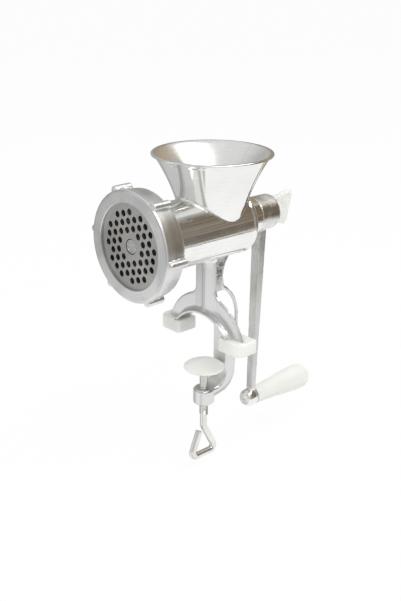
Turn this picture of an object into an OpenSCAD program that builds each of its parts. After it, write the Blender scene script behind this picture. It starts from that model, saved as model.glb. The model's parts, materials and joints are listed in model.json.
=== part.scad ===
// Hand-cranked meat grinder of size 10, with a clamp for a table edge.
// The origin is on the clamp screw's axis, in the plane of the foot pads' undersides.
// +Z is up. The meat leaves at the -Y end, and the crank is at the +Y end.
// Values with _y are places along Y, and values with _z are heights. The rest are sizes.

/* [Barrel] */
// Height of the barrel's axis over the pads' undersides
axis_h = 94; // [88:1:110]
// Radius of the bore that the worm turns in
bore_r = 22.5; // [21.5:0.5:23]
// Thickness of the barrel's wall
barrel_wall = 3; // [2.5:0.5:4]
// How far the ring nut's front lies ahead of the clamp screw
front_reach = 76; // [70:1:84]
// How far the barrel's back lies behind the clamp screw
rear_reach = 32.5; // [31:0.5:36]
// Thickness of the barrel's back wall
back_wall = 4; // [3:0.5:5]
// Outer radius of the neck that holds the shaft
neck_r = 15.5; // [13:0.5:18]
// Length of the neck behind the barrel
neck_len = 16.5; // [12:0.5:20]
// Outer radius of the threaded head
head_r = 37.4; // [37:0.1:38.4]
// How far the head's front stands back from the plate's front
head_setback = 1.5; // [1:0.5:3]
// Rounding where the head steps down to the barrel
shoulder_r = 4; // [2:0.5:5]
// Radius of the chamber that the knife turns in
chamber_r = 31.5; // [30:0.5:33]

/* [Funnel] */
// How far the funnel's axis lies behind the clamp screw
hopper_y = 6.2; // [4:0.2:8]
// Height of the funnel's rim over the barrel's axis
hopper_h = 57; // [50:1:70]
// How much smaller than the barrel the funnel's flank aims to be at the barrel's axis
flank_inset = 2.7; // [2.1:0.1:2.9]
// Radius of the funnel's flank at the rim, under the flare
flank_top_r = 45; // [42:0.5:50]
// Share of the flank's spread that is straight, the rest curves outwards
flank_straight = 0.354; // [0.2:0.01:0.6]
// How far the rim flares out past the flank
rim_flare = 1.2; // [0.5:0.1:2]
// Thickness of the rim
rim_t = 2; // [1.5:0.1:3]
// Thickness of the funnel's wall at the rim
hopper_wall = 2.6; // [2:0.1:4]
// How much smaller than the bore the throat from the funnel is, as a radius
throat_step = 0.9; // [0.7:0.1:4]

/* [Ring nut] */
// Outer radius of the ring at its front
ring_r = 41.5; // [41:0.5:45]
// How much smaller the ring's outer radius is at its back
ring_taper = 1.5; // [0:0.1:2]
// Radius of the ring's opening
ring_open_r = 32; // [30:0.5:33]
// Depth of the ring from front to back
ring_depth = 17.5; // [15:0.5:22]
// Thickness of the lip that holds the plate
lip_t = 2; // [1.5:0.1:3]
// Chamfer along the ring's front edge
ring_chamfer = 1.8; // [0.5:0.1:2.5]
// Number of grip ribs
rib_count = 6; // [4:1:8]
// Radius of a grip rib
rib_r = 3; // [2:0.1:4]
// How far a grip rib stands out from the ring
rib_out = 3.4; // [2:0.1:4]
// How far a grip rib ends ahead of the ring's back
rib_setback = 0.4; // [0.2:0.1:1]
// Angle of the first rib from +X, seen from the front
rib_turn = -6; // [-30:1:30]
// Pitch of the ring's thread
ring_pitch = 3; // [2:0.25:4]
// Depth of the ring's thread
ring_thread = 0.8; // [0.4:0.1:1]

/* [Hole plate] */
// Radius of the plate
plate_r = 35; // [34:0.5:35]
// Thickness of the plate
plate_t = 6; // [4:0.5:8]
// Distance between neighbouring holes
hole_spacing = 7.07; // [6.6:0.01:7.4]
// Radius of a hole
hole_r = 2.35; // [1.5:0.05:2.6]
// How far the rows of holes are turned
hole_turn = 18.2; // [0:0.1:30]
// Radius of the stud's hole in the middle of the plate
plate_bore_r = 5.7; // [5.5:0.05:6]
// Radius of the pin that keeps the plate from turning
plate_pin_r = 1.5; // [1:0.1:1.6]
// How far the pin reaches into the head behind the plate
plate_pin_depth = 5; // [4:0.5:7]

/* [Knife] */
// Thickness of the knife
knife_t = 6; // [4:0.5:8]
// Radius of the circle that the blades sweep
knife_r = 29; // [26:0.5:29.5]
// Width of a blade
blade_w = 9; // [6:0.5:11]
// Radius of the knife's hub
knife_hub_r = 9.5; // [9:0.5:12]
// Number of blades
blade_count = 4; // [3:1:4]

/* [Worm] */
// Radius of the worm's core at the back
core_back_r = 10; // [9:0.5:12]
// Radius of the worm's core at the front
core_front_r = 13; // [11:0.5:15]
// Axial distance from one turn of the flight to the next
flight_pitch = 26; // [20:1:34]
// Width of the flight at its edge, as an angle around the worm
flight_edge_angle = 46; // [30:1:60]
// Width of the flight at its foot, as an angle around the worm
flight_foot_angle = 84; // [60:1:110]
// Radius of the journal in the neck
journal_r = 8; // [7.9:0.1:9]
// Width across the flats of the crank's square
drive_w = 11; // [10:0.1:11.1]
// Radius of the round pin that shows in the plate
stud_pin_r = 5.25; // [4.8:0.05:5.4]
// Width across the flats of the knife's square
stud_square_w = 9.4; // [8:0.1:9.6]
// Radius of the stud's threaded end in the worm
stud_thread_r = 5; // [4:0.1:6]
// Length of the stud's threaded end
stud_thread_len = 18; // [10:1:24]
// Outer radius of the thrust washer
washer_r = 14; // [12:0.5:16]
// Thickness of the thrust washer
washer_t = 2; // [1:0.25:3]

/* [Crank] */
// Radius of the crank's hub
hub_r = 14; // [12:0.5:15]
// Length of the hub
hub_len = 20.9; // [18:0.1:24]
// Rounding of the hub's back edge
hub_round = 2.5; // [1:0.5:4]
// Distance from the worm's axis to the grip's axis
crank_reach = 162.5; // [140:0.5:180]
// Width of the arm at the hub
arm_top_w = 9.5; // [6:0.5:11]
// Width of the arm at the eye
arm_foot_w = 7; // [5:0.2:8]
// Depth of the arm at the hub
arm_top_d = 8.2; // [6:0.2:10]
// Depth of the arm at the eye
arm_foot_d = 4.4; // [3:0.2:6]
// How far the arm's front at the hub lies behind the hub's front
arm_setback = 6.6; // [4:0.2:8]
// How far the arm leans forward on its way to the eye
arm_lean = 2.9; // [0:0.1:4]
// Radius of the eye
eye_r = 7.6; // [6.5:0.1:9]
// Length of the eye
eye_len = 10.4; // [8:0.2:14]
// Rounding of the eye
eye_round = 2.8; // [1:0.2:3.6]
// How far the eye's back stands out behind the arm
eye_proud = 0.3; // [0.3:0.1:1]

/* [Grip] */
// Length of the grip
grip_len = 66.5; // [55:0.5:80]
// Radius of the grip at the eye
grip_near_r = 7.5; // [7:0.1:9]
// Greatest radius of the grip, near its end
grip_far_r = 10.8; // [9:0.1:13]
// Radius of the axle
axle_r = 3; // [2.5:0.1:3.4]
// Radius of the axle's head
axle_head_r = 5; // [4.5:0.1:5.6]
// Thickness of the axle's head
axle_head_t = 3; // [2:0.5:4]
// Depth of the recess for the axle's head
grip_recess = 7; // [5:0.5:9]
// Thickness of the washer between eye and grip
axle_washer_t = 1.2; // [0.8:0.1:1.6]

/* [Wing screw] */
// Width of the paddle at its end
wing_w = 30; // [26:1:34]
// Width of the paddle at its root
wing_root_w = 23; // [18:1:26]
// Length of the paddle
wing_len = 22.5; // [18:0.5:28]
// Thickness of the paddle
wing_t = 5; // [3:0.5:7]
// Rounding of the paddle's corners
wing_corner = 4; // [2:0.5:6]
// Angle by which the paddle is turned from upright
wing_turn = 12; // [0:1:90]
// Radius of the paddle's boss
wing_boss_r = 8.5; // [7:0.5:11]
// Length of the paddle's boss
wing_boss_len = 8; // [4:0.5:12]
// Radius of the wing screw's thread
wing_stud_r = 4; // [3:0.1:4.2]
// Depth of the wing screw's thread
wing_thread = 0.5; // [0.3:0.05:0.6]
// Pitch of the wing screw's thread
wing_pitch = 1.25; // [1:0.05:1.5]
// How far the wing screw reaches into the shaft
wing_reach = 14; // [10:0.5:18]

/* [Leg] */
// Half the width of the leg
leg_half_w = 11; // [9:0.5:13]
// Thickness of the leg and the feet
leg_t = 3; // [3:0.5:6]
// How far the ridge stands out from the leg's front
ridge_out = 1.4; // [0.5:0.1:2]
// Radius of the arch between the feet
arch_r = 34.4; // [32:0.2:35]
// How far the arch's centre lies below the pads' undersides
arch_drop = 10.5; // [9:0.5:12]
// Radius of the feet's outer outline
foot_r = 43.3; // [42.8:0.1:45]
// Height of the outer outline's centre, below the pads' undersides
foot_drop = 3.2; // [2:0.2:4]
// Radius between the leg and the feet
leg_fillet = 8; // [5:0.5:12]
// Thickness of the bead along the arch, at the leg
bead_t = 2.4; // [2:0.1:3.4]
// Thickness of the bead at its front edge
bead_lip_t = 1.4; // [1:0.1:2]
// How far the bead stands out in front of the leg
bead_front = 6; // [4:0.5:6.5]
// How far the bead runs back from the leg's front
bead_back = 11; // [9:0.5:13]

/* [Foot pads] */
// Distance from the middle to a pad's inner side
pad_inner_x = 22; // [20:0.5:23]
// Distance from the middle to a pad's outer side
pad_outer_x = 46.5; // [46:0.5:50]
// How far both pads sit off the middle, towards -X
pad_slip = 1.2; // [0:0.1:1.5]
// How far a pad stands out in front of the leg
pad_front = 6.5; // [6:0.5:9]
// How far a pad runs back from the leg's front
pad_back = 13.5; // [12.5:0.5:16]
// Height of a pad
pad_h = 11; // [8:0.5:14]
// Thickness of a pad under the foot
pad_floor = 3.5; // [3:0.5:5]
// Rounding of a pad's upright edges
pad_corner = 2.5; // [1.5:0.5:4]
// Rounding of the upright edge at a pad's outer front
pad_round = 5; // [3:0.5:8]

/* [Clamp arm] */
// How far behind the flange the centre of the arm's waist lies
waist_behind = 25.1; // [23:0.1:27]
// How far ahead of the flange the centre of the arm's belly lies
belly_ahead = 15.6; // [14:0.1:17]
// Radius of the arm's outer bend, at its heel
heel_r = 18.6; // [17:0.1:20]
// How far the heel's centre lies above the lower arm's top
heel_over = 7.3; // [5:0.1:10]
// How far the heel bends on from upright
heel_turn = 72; // [50:1:80]
// Thickness of the arm's web
web_t = 2.4; // [2:0.1:3]
// Width of the rib along the web's outer edge
rim_w = 3.2; // [3:0.1:6]
// Depth of the rib along the web's outer edge
rim_d = 2.8; // [2.4:0.1:4]
// Half the width of the inner flange
flange_half_w = 8; // [6:0.5:10]
// Thickness of the inner flange
flange_t = 3; // [2.5:0.1:5]
// Gap between the disc's edge and the inner flange
disc_clear = 0.5; // [0.3:0.1:2]
// Radius in the corner between the flange and the lower arm
flange_bend = 12; // [8:0.5:14]
// Distance from the pads' undersides down to the lower arm
throat_h = 41.3; // [37:0.1:50]
// Radius of the clamp screw's boss
boss_r = 8.65; // [7.5:0.05:10]
// Height of the boss
boss_h = 13.7; // [11:0.1:18]

/* [Clamp screw] */
// Outer radius of the thread
screw_r = 3.6; // [3.2:0.05:3.8]
// Depth of the thread
screw_thread = 0.6; // [0.3:0.05:0.7]
// Pitch of the thread
screw_pitch = 1.5; // [1.25:0.05:2]
// Radius of the plain rod that the loop is bent from
rod_r = 2.9; // [2.6:0.1:3.2]
// Length of the thread under the disc
thread_len = 42.5; // [38:0.5:50]
// Radius of the bends along the middle of the rod
rod_bend_r = 4; // [3.3:0.1:6]
// Straight length of plain rod under the thread
rod_stub = 8.6; // [3:0.1:10]
// Angle at which the loop's first side leaves the rod's axis
loop_slant = 28.5; // [24:0.5:36]
// Length of the loop's first side
loop_side = 21.4; // [18:0.1:26]
// Length of the loop's lower side
loop_base = 15.2; // [11:0.1:17]
// Angle at which the loop's last side leans back to the rod
loop_back_slant = 22; // [8:0.5:26]
// Length of the loop's last side
loop_back = 17.8; // [14:0.1:19]

/* [Clamp disc] */
// Radius of the disc at its widest
disc_r = 16.5; // [15:0.1:18]
// Height of the disc from its underside to its crown
disc_h = 8; // [7:0.5:10]
// Rounding from the disc's underside up to its widest circle
disc_round = 2.5; // [1.5:0.1:3]
// Open height between the pads' undersides and the disc's crown
disc_drop = 16.5; // [10:0.5:25]
// Radius of the steel washer in the disc
disc_washer_r = 11; // [9:0.5:12]
// Thickness of the steel washer in the disc
disc_washer_t = 2; // [1.5:0.1:2.4]

/* [Fits] */
// Radial clearance of what turns or screws in a bore
run_fit = 0.06; // [0.02:0.01:0.1]
// Clearance of what stands still or slides over a square
loose_fit = 0.15; // [0.1:0.01:0.3]
// Gap between faces that turn past each other
face_gap = 0.2; // [0.1:0.05:0.3]
// Clearance of the knife, the worm and the plate in the barrel
wall_gap = 0.3; // [0.2:0.05:0.5]

/* [Hidden] */
barrel_r = bore_r + barrel_wall;
throat_r = bore_r - throat_step;
flank_foot_r = barrel_r - flank_inset;
$fn = 96;

// Colours
cast_colour = [0.80, 0.81, 0.82];
ring_colour = [0.74, 0.75, 0.76];
steel_colour = [0.55, 0.56, 0.57];
zinc_colour = [0.78, 0.77, 0.74];
plastic_colour = [0.93, 0.93, 0.90];

// Places along the barrel, from the front to the back
plate_front_y = -front_reach + lip_t + face_gap / 2;
plate_back_y = plate_front_y + plate_t;
knife_front_y = plate_back_y + face_gap;
knife_back_y = knife_front_y + knife_t;
head_front_y = plate_front_y + head_setback;
ring_back_y = -front_reach + ring_depth;
head_back_y = ring_back_y + 1;
chamber_back_y = knife_back_y + 2;
chamber_taper = chamber_r - bore_r;
shoulder_y = head_back_y + shoulder_r;
barrel_front_y = shoulder_y + shoulder_r;
bore_back_y = rear_reach - back_wall;
worm_back_y = bore_back_y - washer_t - face_gap;
neck_back_y = rear_reach + neck_len;
hub_front_y = neck_back_y + 3 * face_gap;
hub_back_y = hub_front_y + hub_len;
shaft_back_y = hub_back_y - 1.5;
wing_front_y = hub_back_y + face_gap;

// Places on the crank's arm
arm_top_y = hub_front_y + arm_setback;
arm_foot_y = arm_top_y - arm_lean;
eye_back_y = arm_foot_y + arm_foot_d + eye_proud;
eye_front_y = eye_back_y - eye_len;
grip_axis_z = axis_h - crank_reach;
washer_front_y = eye_back_y + face_gap / 2;
grip_front_y = washer_front_y + axle_washer_t + face_gap / 2;
grip_back_y = grip_front_y + grip_len;
recess_y = grip_back_y - grip_recess;

// Heights of the clamp
arch_top_z = arch_r - arch_drop;
flange_y = disc_r + disc_clear;
boss_top_z = -throat_h;
boss_foot_z = boss_top_z - boss_h;
disc_top_z = -disc_drop;
disc_foot_z = disc_top_z - disc_h;
thread_top_z = disc_foot_z - face_gap / 2;
thread_foot_z = thread_top_z - thread_len;
plate_recess_r = plate_r + run_fit;

// An arc's points, from angle a0 to angle a1
function arc(cx, cy, r, a0, a1, n = 8) =
    [for (i = [0:n]) let (a = a0 + (a1 - a0) * i / n) [cx + r * cos(a), cy + r * sin(a)]];

// Radius and height of a thread's roots and crests, as rings from height z0 on
function thread_rings(r, depth, pitch, z0, count) =
    [for (i = [0:count - 1]) let (z = z0 + i * pitch) each [[r - depth, z], [r, z + pitch / 2]]];

// Puts a shape that is modelled along +Z on the worm's axis, with its foot at y
module on_axis(y) {
    translate([0, y, axis_h])
        rotate([-90, 0, 0])
            children();
}

// A cylinder along +Y from y0 to y1, through x and z
module bar_y(r, y0, y1, x = 0, z = 0) {
    translate([x, y0, z])
        rotate([-90, 0, 0])
            cylinder(r = r, h = y1 - y0);
}

// An outline drawn in Y and Z, given a thickness across X
module slab_x(thickness) {
    translate([-thickness / 2, 0, 0])
        rotate([90, 0, 90])
            linear_extrude(thickness)
                children();
}

// Funnel: radius of the flank at a height over the barrel's axis
function flank_r(h) =
    let (u = h / hopper_h)
    flank_foot_r + (flank_top_r - flank_foot_r) * (flank_straight * u + (1 - flank_straight) * u * u);

// Funnel: radius of the inner face, which meets the throat at the top of the bore
function inner_r(h) =
    let (u = (h - bore_r) / (hopper_h - bore_r))
    throat_r + (flank_top_r + rim_flare - hopper_wall - throat_r) * (0.5 * u + 0.5 * u * u);

module casting_hopper() {
    steps = 12;
    flare_h = 2.2 * rim_t;
    outer = [for (i = [0:steps]) let (h = (hopper_h - flare_h) * i / steps) [flank_r(h), h]];
    rim = [[flank_top_r + rim_flare - 0.4, hopper_h - rim_t], [flank_top_r + rim_flare, hopper_h - rim_t / 2],
        [flank_top_r + rim_flare - 0.5, hopper_h], [flank_top_r + rim_flare - hopper_wall + 0.6, hopper_h]];
    inner = [for (i = [steps:-1:0]) let (h = bore_r + (hopper_h - 0.8 - bore_r) * i / steps) [inner_r(h), h]];
    color(cast_colour)
        difference() {
            translate([0, hopper_y, axis_h])
                rotate_extrude()
                    polygon(concat(outer, rim, inner, [[throat_r, 0]]));
            on_axis(-front_reach)
                cylinder(r = barrel_r, h = 3 * front_reach);
        }
}

// The head's shoulder is where the head ends and the barrel begins, in one casting
module casting_head() {
    groove_y0 = head_front_y + ring_pitch;
    grooves = floor((head_back_y - groove_y0) / ring_pitch);
    outer = concat(
        [[head_r - ring_thread, head_front_y], [head_r, head_front_y + ring_thread]],
        [for (i = [0:grooves - 1]) let (y = groove_y0 + i * ring_pitch)
            each [[head_r, y], [head_r - ring_thread, y + ring_pitch / 4], [head_r, y + ring_pitch / 2]]],
        arc(head_r - shoulder_r, head_back_y, shoulder_r, 0, 90));
    inner = [[bore_r, shoulder_y], [bore_r, chamber_back_y + chamber_taper / 2], [chamber_r, chamber_back_y],
        [chamber_r, plate_back_y + wall_gap], [plate_recess_r, plate_back_y + wall_gap],
        [plate_recess_r, head_front_y]];
    color(cast_colour)
        difference() {
            on_axis(0)
                rotate_extrude()
                    polygon(concat(outer, inner));
            on_axis(0)
                translate([0, -plate_r, 0])
                    plate_pin_shape();
        }
}

module casting_barrel() {
    outer = concat(
        arc(barrel_r + shoulder_r, barrel_front_y, shoulder_r, -90, -180),
        arc(barrel_r - 2, rear_reach - 2, 2, 0, 90, 4),
        arc(neck_r + 2, rear_reach + 2, 2, -90, -180, 4),
        [[neck_r, neck_back_y - 1], [neck_r - 1, neck_back_y]]);
    inner = [[journal_r + run_fit, neck_back_y], [journal_r + run_fit, bore_back_y], [bore_r, bore_back_y],
        [bore_r, shoulder_y]];
    color(cast_colour)
        difference() {
            on_axis(0)
                rotate_extrude()
                    polygon(concat(outer, inner));
            translate([0, hopper_y, axis_h])
                cylinder(r = throat_r, h = 2 * barrel_r);
        }
}

// The leg's front plate, the arch with its bead, and the two feet
module leg_shape() {
    fillet_x = leg_half_w + leg_fillet;
    fillet_z = -foot_drop + sqrt(pow(foot_r + leg_fillet, 2) - pow(fillet_x, 2));
    // where the fillet runs into the feet's outer outline
    touch_x = fillet_x * foot_r / (foot_r + leg_fillet);
    ridge_foot_z = arch_top_z + bead_t;
    difference() {
        union() {
            intersection() {
                bar_y(foot_r, 0, leg_t, 0, -foot_drop);
                translate([-foot_r, 0, pad_floor])
                    cube([2 * foot_r, leg_t, foot_r]);
            }
            difference() {
                translate([-touch_x, 0, arch_top_z])
                    cube([2 * touch_x, leg_t, fillet_z - arch_top_z]);
                for (side = [-1, 1])
                    bar_y(leg_fillet, -1, leg_t + 1, side * fillet_x, fillet_z);
            }
            translate([-leg_half_w, 0, fillet_z])
                cube([2 * leg_half_w, leg_t, axis_h - fillet_z]);
            translate([0, 0, ridge_foot_z])
                linear_extrude(axis_h - ridge_foot_z)
                    polygon([[-leg_half_w, 0], [0, -ridge_out], [leg_half_w, 0]]);
            intersection() {
                bead_shape();
                translate([-foot_r, -bead_front, pad_floor])
                    cube([2 * foot_r, bead_front + bead_back, foot_r]);
            }
        }
        bar_y(arch_r, -front_reach, front_reach, 0, -arch_drop);
        on_axis(-front_reach)
            cylinder(r = barrel_r, h = 2 * front_reach);
    }
}

// The bead as a solid of revolution, which thins towards its front edge
module bead_shape() {
    translate([0, 0, -arch_drop])
        rotate([-90, 0, 0])
            rotate_extrude()
                polygon([[0, -bead_front], [arch_r + bead_lip_t, -bead_front], [arch_r + bead_t, 0],
                    [arch_r + bead_t, bead_back], [0, bead_back]]);
}

module casting_leg() {
    color(cast_colour)
        leg_shape();
}

// Outline of the clamp arm's outer edge, from the barrel down to the boss
waist_y = flange_y + waist_behind;
waist_z = axis_h - 44;
waist_r = 23;
belly_y = flange_y - belly_ahead;
belly_z = arch_top_z - 12;
belly_r = 35.8;
heel_y = flange_y - 0.9;
heel_z = boss_top_z + heel_over;
waist = arc(waist_y, waist_z, waist_r, 98, 201, 14);
belly = arc(belly_y, belly_z, belly_r, 50, 0, 12);
heel = arc(heel_y, heel_z, heel_r, 0, -heel_turn, 9);
waist_in = arc(waist_y, waist_z, waist_r + rim_d, 98, 204, 14);
belly_in = arc(belly_y, belly_z, belly_r - rim_d, 46, 0, 12);
heel_in = arc(heel_y, heel_z, heel_r - rim_d, 0, -heel_turn, 9);
rib_foot = [boss_r - 1, boss_foot_z + 0.8];

// Points taken in the opposite order
function reversed(points) = [for (i = [len(points) - 1:-1:0]) points[i]];

module clamp_arm_shape() {
    window_top_z = waist_z - 12;
    window_foot_z = 2;
    flange_back_y = flange_y + flange_t;
    bend_y = flange_y - flange_bend;
    bend_z = boss_top_z + flange_bend;
    // rib along the outer edge
    slab_x(rim_w)
        polygon(concat(waist, belly, heel, [rib_foot, rib_foot + [0, rim_d]],
            reversed(heel_in), reversed(belly_in), reversed(waist_in)));
    // web behind the leg
    slab_x(web_t)
        polygon(concat([[leg_t, axis_h]], waist, [[belly[0][0], window_top_z], [leg_t, window_top_z]]));
    // web below the window
    slab_x(web_t)
        polygon(concat([[flange_y, window_foot_z], [heel_y + heel_r, window_foot_z]], heel,
            [rib_foot, [rib_foot[0], boss_top_z - 1]], arc(bend_y, bend_z, flange_bend + 1, -90, 0)));
    // inner flange, from the arch down and forward to the boss
    slab_x(2 * flange_half_w)
        polygon(concat([[bead_back, arch_top_z + 1], [flange_y, arch_top_z - 5]],
            arc(bend_y, bend_z, flange_bend, 0, -90), [[0, boss_top_z], [0, boss_top_z - flange_t]],
            arc(bend_y, bend_z, flange_bend + flange_t, -90, 0),
            [[flange_back_y, arch_top_z - 3.5], [bead_back, arch_top_z + bead_t + 0.4]]));
}

module casting_clamp_arm() {
    color(cast_colour)
        difference() {
            union() {
                clamp_arm_shape();
                translate([0, 0, boss_foot_z])
                    rotate_extrude()
                        polygon(concat([[0, 0]], arc(boss_r - 1.5, 1.5, 1.5, -90, 0, 4),
                            arc(boss_r - 0.8, boss_h - 0.8, 0.8, 0, 90, 4), [[0, boss_h]]));
            }
            translate([0, 0, boss_foot_z - 1])
                cylinder(r = screw_r + run_fit, h = boss_h + 2);
            on_axis(-front_reach)
                cylinder(r = barrel_r, h = 2 * front_reach);
        }
}

module ring_nut() {
    bore = head_r + run_fit;
    rib_centre_r = ring_r + rib_out - rib_r;
    rib_front_y = -front_reach + ring_chamfer + rib_r;
    color(ring_colour)
        difference() {
            union() {
                on_axis(0)
                    rotate_extrude()
                        polygon([[ring_open_r + 0.4, -front_reach], [ring_r - ring_chamfer, -front_reach],
                            [ring_r, -front_reach + ring_chamfer], [ring_r - ring_taper, ring_back_y - 0.6],
                            [ring_r - ring_taper - 0.6, ring_back_y], [bore, ring_back_y],
                            [bore, -front_reach + lip_t], [ring_open_r, -front_reach + lip_t],
                            [ring_open_r, -front_reach + 0.4]]);
                for (i = [0:rib_count - 1])
                    on_axis(0)
                        rotate([0, 0, -rib_turn - i * 360 / rib_count])
                            translate([rib_centre_r, 0, rib_front_y]) {
                                cylinder(r = rib_r, h = ring_back_y - rib_setback - rib_front_y);
                                sphere(r = rib_r);
                            }
            }
            on_axis(-front_reach + lip_t)
                cylinder(r = bore, h = ring_depth);
        }
}

// Holes lie on a triangular grid, and the six places round the middle are left out
function grid_point(i, j) = hole_spacing * [i + j / 2, j * sqrt(3) / 2];
grid_reach = 4;
hole_places = [for (i = [-grid_reach:grid_reach], j = [-grid_reach:grid_reach])
    let (p = grid_point(i, j), n = norm(p) / hole_spacing) if (n > 1.5 && n < 3.7) p];

// The locating pin, along the axis, at the plate's edge
module plate_pin_shape() {
    translate([0, 0, plate_front_y + plate_t / 2])
        cylinder(r = plate_pin_r, h = plate_t / 2 + plate_pin_depth);
}

module hole_plate() {
    color(steel_colour)
        difference() {
            on_axis(plate_front_y)
                cylinder(r = plate_r, h = plate_t);
            on_axis(plate_front_y - 1)
                cylinder(r = plate_bore_r, h = plate_t + 2);
            on_axis(plate_front_y - 1)
                rotate([0, 0, -hole_turn])
                    for (p = hole_places)
                        translate(p)
                            cylinder(r = hole_r, h = plate_t + 2);
            on_axis(plate_front_y - 1)
                translate([0, -plate_r, 0])
                    cylinder(r = plate_pin_r + loose_fit, h = plate_t + 2);
        }
}

module plate_pin() {
    color(steel_colour)
        on_axis(0)
            translate([0, -plate_r, 0])
                plate_pin_shape();
}

// A blade's section, with its edge at the plate and its back cut away
function blade_section() = [[0, 0], [blade_w * 0.55, 0], [blade_w, knife_t * 0.55], [blade_w, knife_t],
    [blade_w * 0.3, knife_t], [0, knife_t * 0.3]];

module knife() {
    color(steel_colour)
        difference() {
            on_axis(knife_front_y) {
                cylinder(r = knife_hub_r, h = knife_t);
                intersection() {
                    cylinder(r = knife_r, h = knife_t);
                    for (i = [0:blade_count - 1])
                        rotate([0, 0, i * 360 / blade_count])
                            translate([0, -blade_w / 2, 0])
                                rotate([90, 0, 90])
                                    linear_extrude(knife_r)
                                        polygon(blade_section());
                }
            }
            on_axis(knife_front_y - 1)
                square_bar(stud_square_w + 2 * loose_fit, knife_t + 2);
        }
}

module square_bar(width, length) {
    translate([-width / 2, -width / 2, 0])
        cube([width, width, length]);
}

// How deep the flight's foot lies in the worm's core
flight_root = 0.6;

// One turn of the flight, seen along the worm: a tooth that is wider at its foot
module flight_section() {
    edge_r = bore_r - wall_gap;
    foot_r = core_back_r - flight_root;
    polygon(concat([[0, 0]], arc(0, 0, foot_r, -flight_foot_angle / 2, -flight_foot_angle / 2 + 1, 1),
        arc(0, 0, edge_r, -flight_edge_angle / 2, flight_edge_angle / 2, 4),
        arc(0, 0, foot_r, flight_foot_angle / 2 - 1, flight_foot_angle / 2, 1)));
}

module worm() {
    worm_len = worm_back_y - knife_back_y;
    flight_len = worm_len - 2 * face_gap;
    turns = flight_len / flight_pitch;
    color(cast_colour)
        difference() {
            on_axis(knife_back_y) {
                cylinder(r1 = core_front_r, r2 = core_back_r, h = worm_len);
                translate([0, 0, face_gap])
                    linear_extrude(flight_len, twist = 360 * turns, slices = ceil(turns * 22), $fn = 12)
                        flight_section();
            }
            on_axis(knife_back_y - 1)
                cylinder(r = stud_thread_r, h = stud_thread_len + 1);
        }
}

module knife_stud() {
    color(steel_colour)
        on_axis(0) {
            translate([0, 0, knife_back_y])
                cylinder(r = stud_thread_r, h = stud_thread_len);
            translate([0, 0, knife_front_y])
                square_bar(stud_square_w, knife_t);
            difference() {
                translate([0, 0, plate_front_y + 0.4])
                    cylinder(r = stud_pin_r, h = knife_front_y - plate_front_y - 0.4);
                translate([0, 0, plate_front_y])
                    cylinder(r1 = 1.9, r2 = 0, h = 2.3);
            }
        }
}

module worm_shaft() {
    color(steel_colour)
        difference() {
            on_axis(0) {
                translate([0, 0, worm_back_y])
                    cylinder(r = journal_r, h = neck_back_y + face_gap - worm_back_y);
                translate([0, 0, neck_back_y])
                    square_bar(drive_w, shaft_back_y - neck_back_y);
            }
            on_axis(shaft_back_y - wing_reach - 3)
                cylinder(r = wing_stud_r + run_fit, h = wing_reach + 4);
        }
}

module thrust_washer() {
    color(plastic_colour)
        on_axis(bore_back_y - washer_t)
            difference() {
                cylinder(r = washer_r, h = washer_t);
                translate([0, 0, -1])
                    cylinder(r = journal_r + run_fit, h = washer_t + 2);
            }
}

module crank_arm() {
    arm_h = crank_reach;
    color(cast_colour)
        difference() {
            union() {
                on_axis(hub_front_y)
                    rotate_extrude()
                        polygon(concat([[0, 0], [hub_r - 0.6, 0], [hub_r, 0.6]],
                            arc(hub_r - hub_round, hub_len - hub_round, hub_round, 0, 90, 5),
                            [[0, hub_len]]));
                intersection() {
                    slab_x(2 * arm_top_w)
                        polygon([[arm_top_y, axis_h], [arm_top_y + arm_top_d, axis_h],
                            [arm_foot_y + arm_foot_d, grip_axis_z], [arm_foot_y, grip_axis_z]]);
                    translate([0, hub_back_y, 0])
                        rotate([90, 0, 0])
                            linear_extrude(hub_len + eye_len)
                                polygon([[-arm_top_w / 2, axis_h], [arm_top_w / 2, axis_h],
                                    [arm_foot_w / 2, axis_h - arm_h], [-arm_foot_w / 2, axis_h - arm_h]]);
                }
                translate([0, 0, grip_axis_z - axis_h])
                    on_axis(eye_front_y)
                        rotate_extrude()
                            polygon(concat([[0, 0]], arc(eye_r - eye_round, eye_round, eye_round, -90, 0, 5),
                                arc(eye_r - eye_round / 2, eye_len - eye_round / 2, eye_round / 2, 0, 90, 4),
                                [[0, eye_len]]));
            }
            on_axis(hub_front_y - 1)
                square_bar(drive_w + 2 * loose_fit, hub_len + 2);
            bar_y(axle_r, eye_front_y - 1, eye_back_y + 1, 0, grip_axis_z);
        }
}

// Outline of the paddle: it widens in a hollow curve from the root to rounded corners at the end
function wing_outline() =
    let (spread = (wing_w - wing_root_w) / 2, flank_len = wing_len - wing_corner,
        edge = concat([for (i = [0:8]) [wing_root_w / 2 + spread * pow(i / 8, 2), flank_len * i / 8]],
            arc(wing_w / 2 - wing_corner, flank_len, wing_corner, 10, 90)))
    concat(edge, reversed([for (p = edge) [-p[0], p[1]]]));

module wing_knob() {
    color(plastic_colour)
        on_axis(wing_front_y)
            rotate([0, 0, wing_turn])
                difference() {
                    union() {
                        cylinder(r1 = wing_boss_r, r2 = wing_boss_r - 1.5, h = wing_boss_len);
                        rotate([90, 0, 90])
                            translate([0, 0, -wing_t / 2])
                                linear_extrude(wing_t)
                                    polygon(wing_outline());
                    }
                    translate([0, 0, -1])
                        cylinder(r = wing_stud_r, h = wing_boss_len);
                }
}

module wing_stud() {
    stud_len = wing_front_y + wing_boss_len - 1 - shaft_back_y + wing_reach;
    turns = floor(wing_reach / wing_pitch);
    color(zinc_colour)
        on_axis(shaft_back_y - wing_reach)
            rotate_extrude()
                polygon(concat([[0, 0]], thread_rings(wing_stud_r, wing_thread, wing_pitch, 0, turns),
                    [[wing_stud_r, wing_pitch * turns], [wing_stud_r, stud_len], [0, stud_len]]));
}

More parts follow.
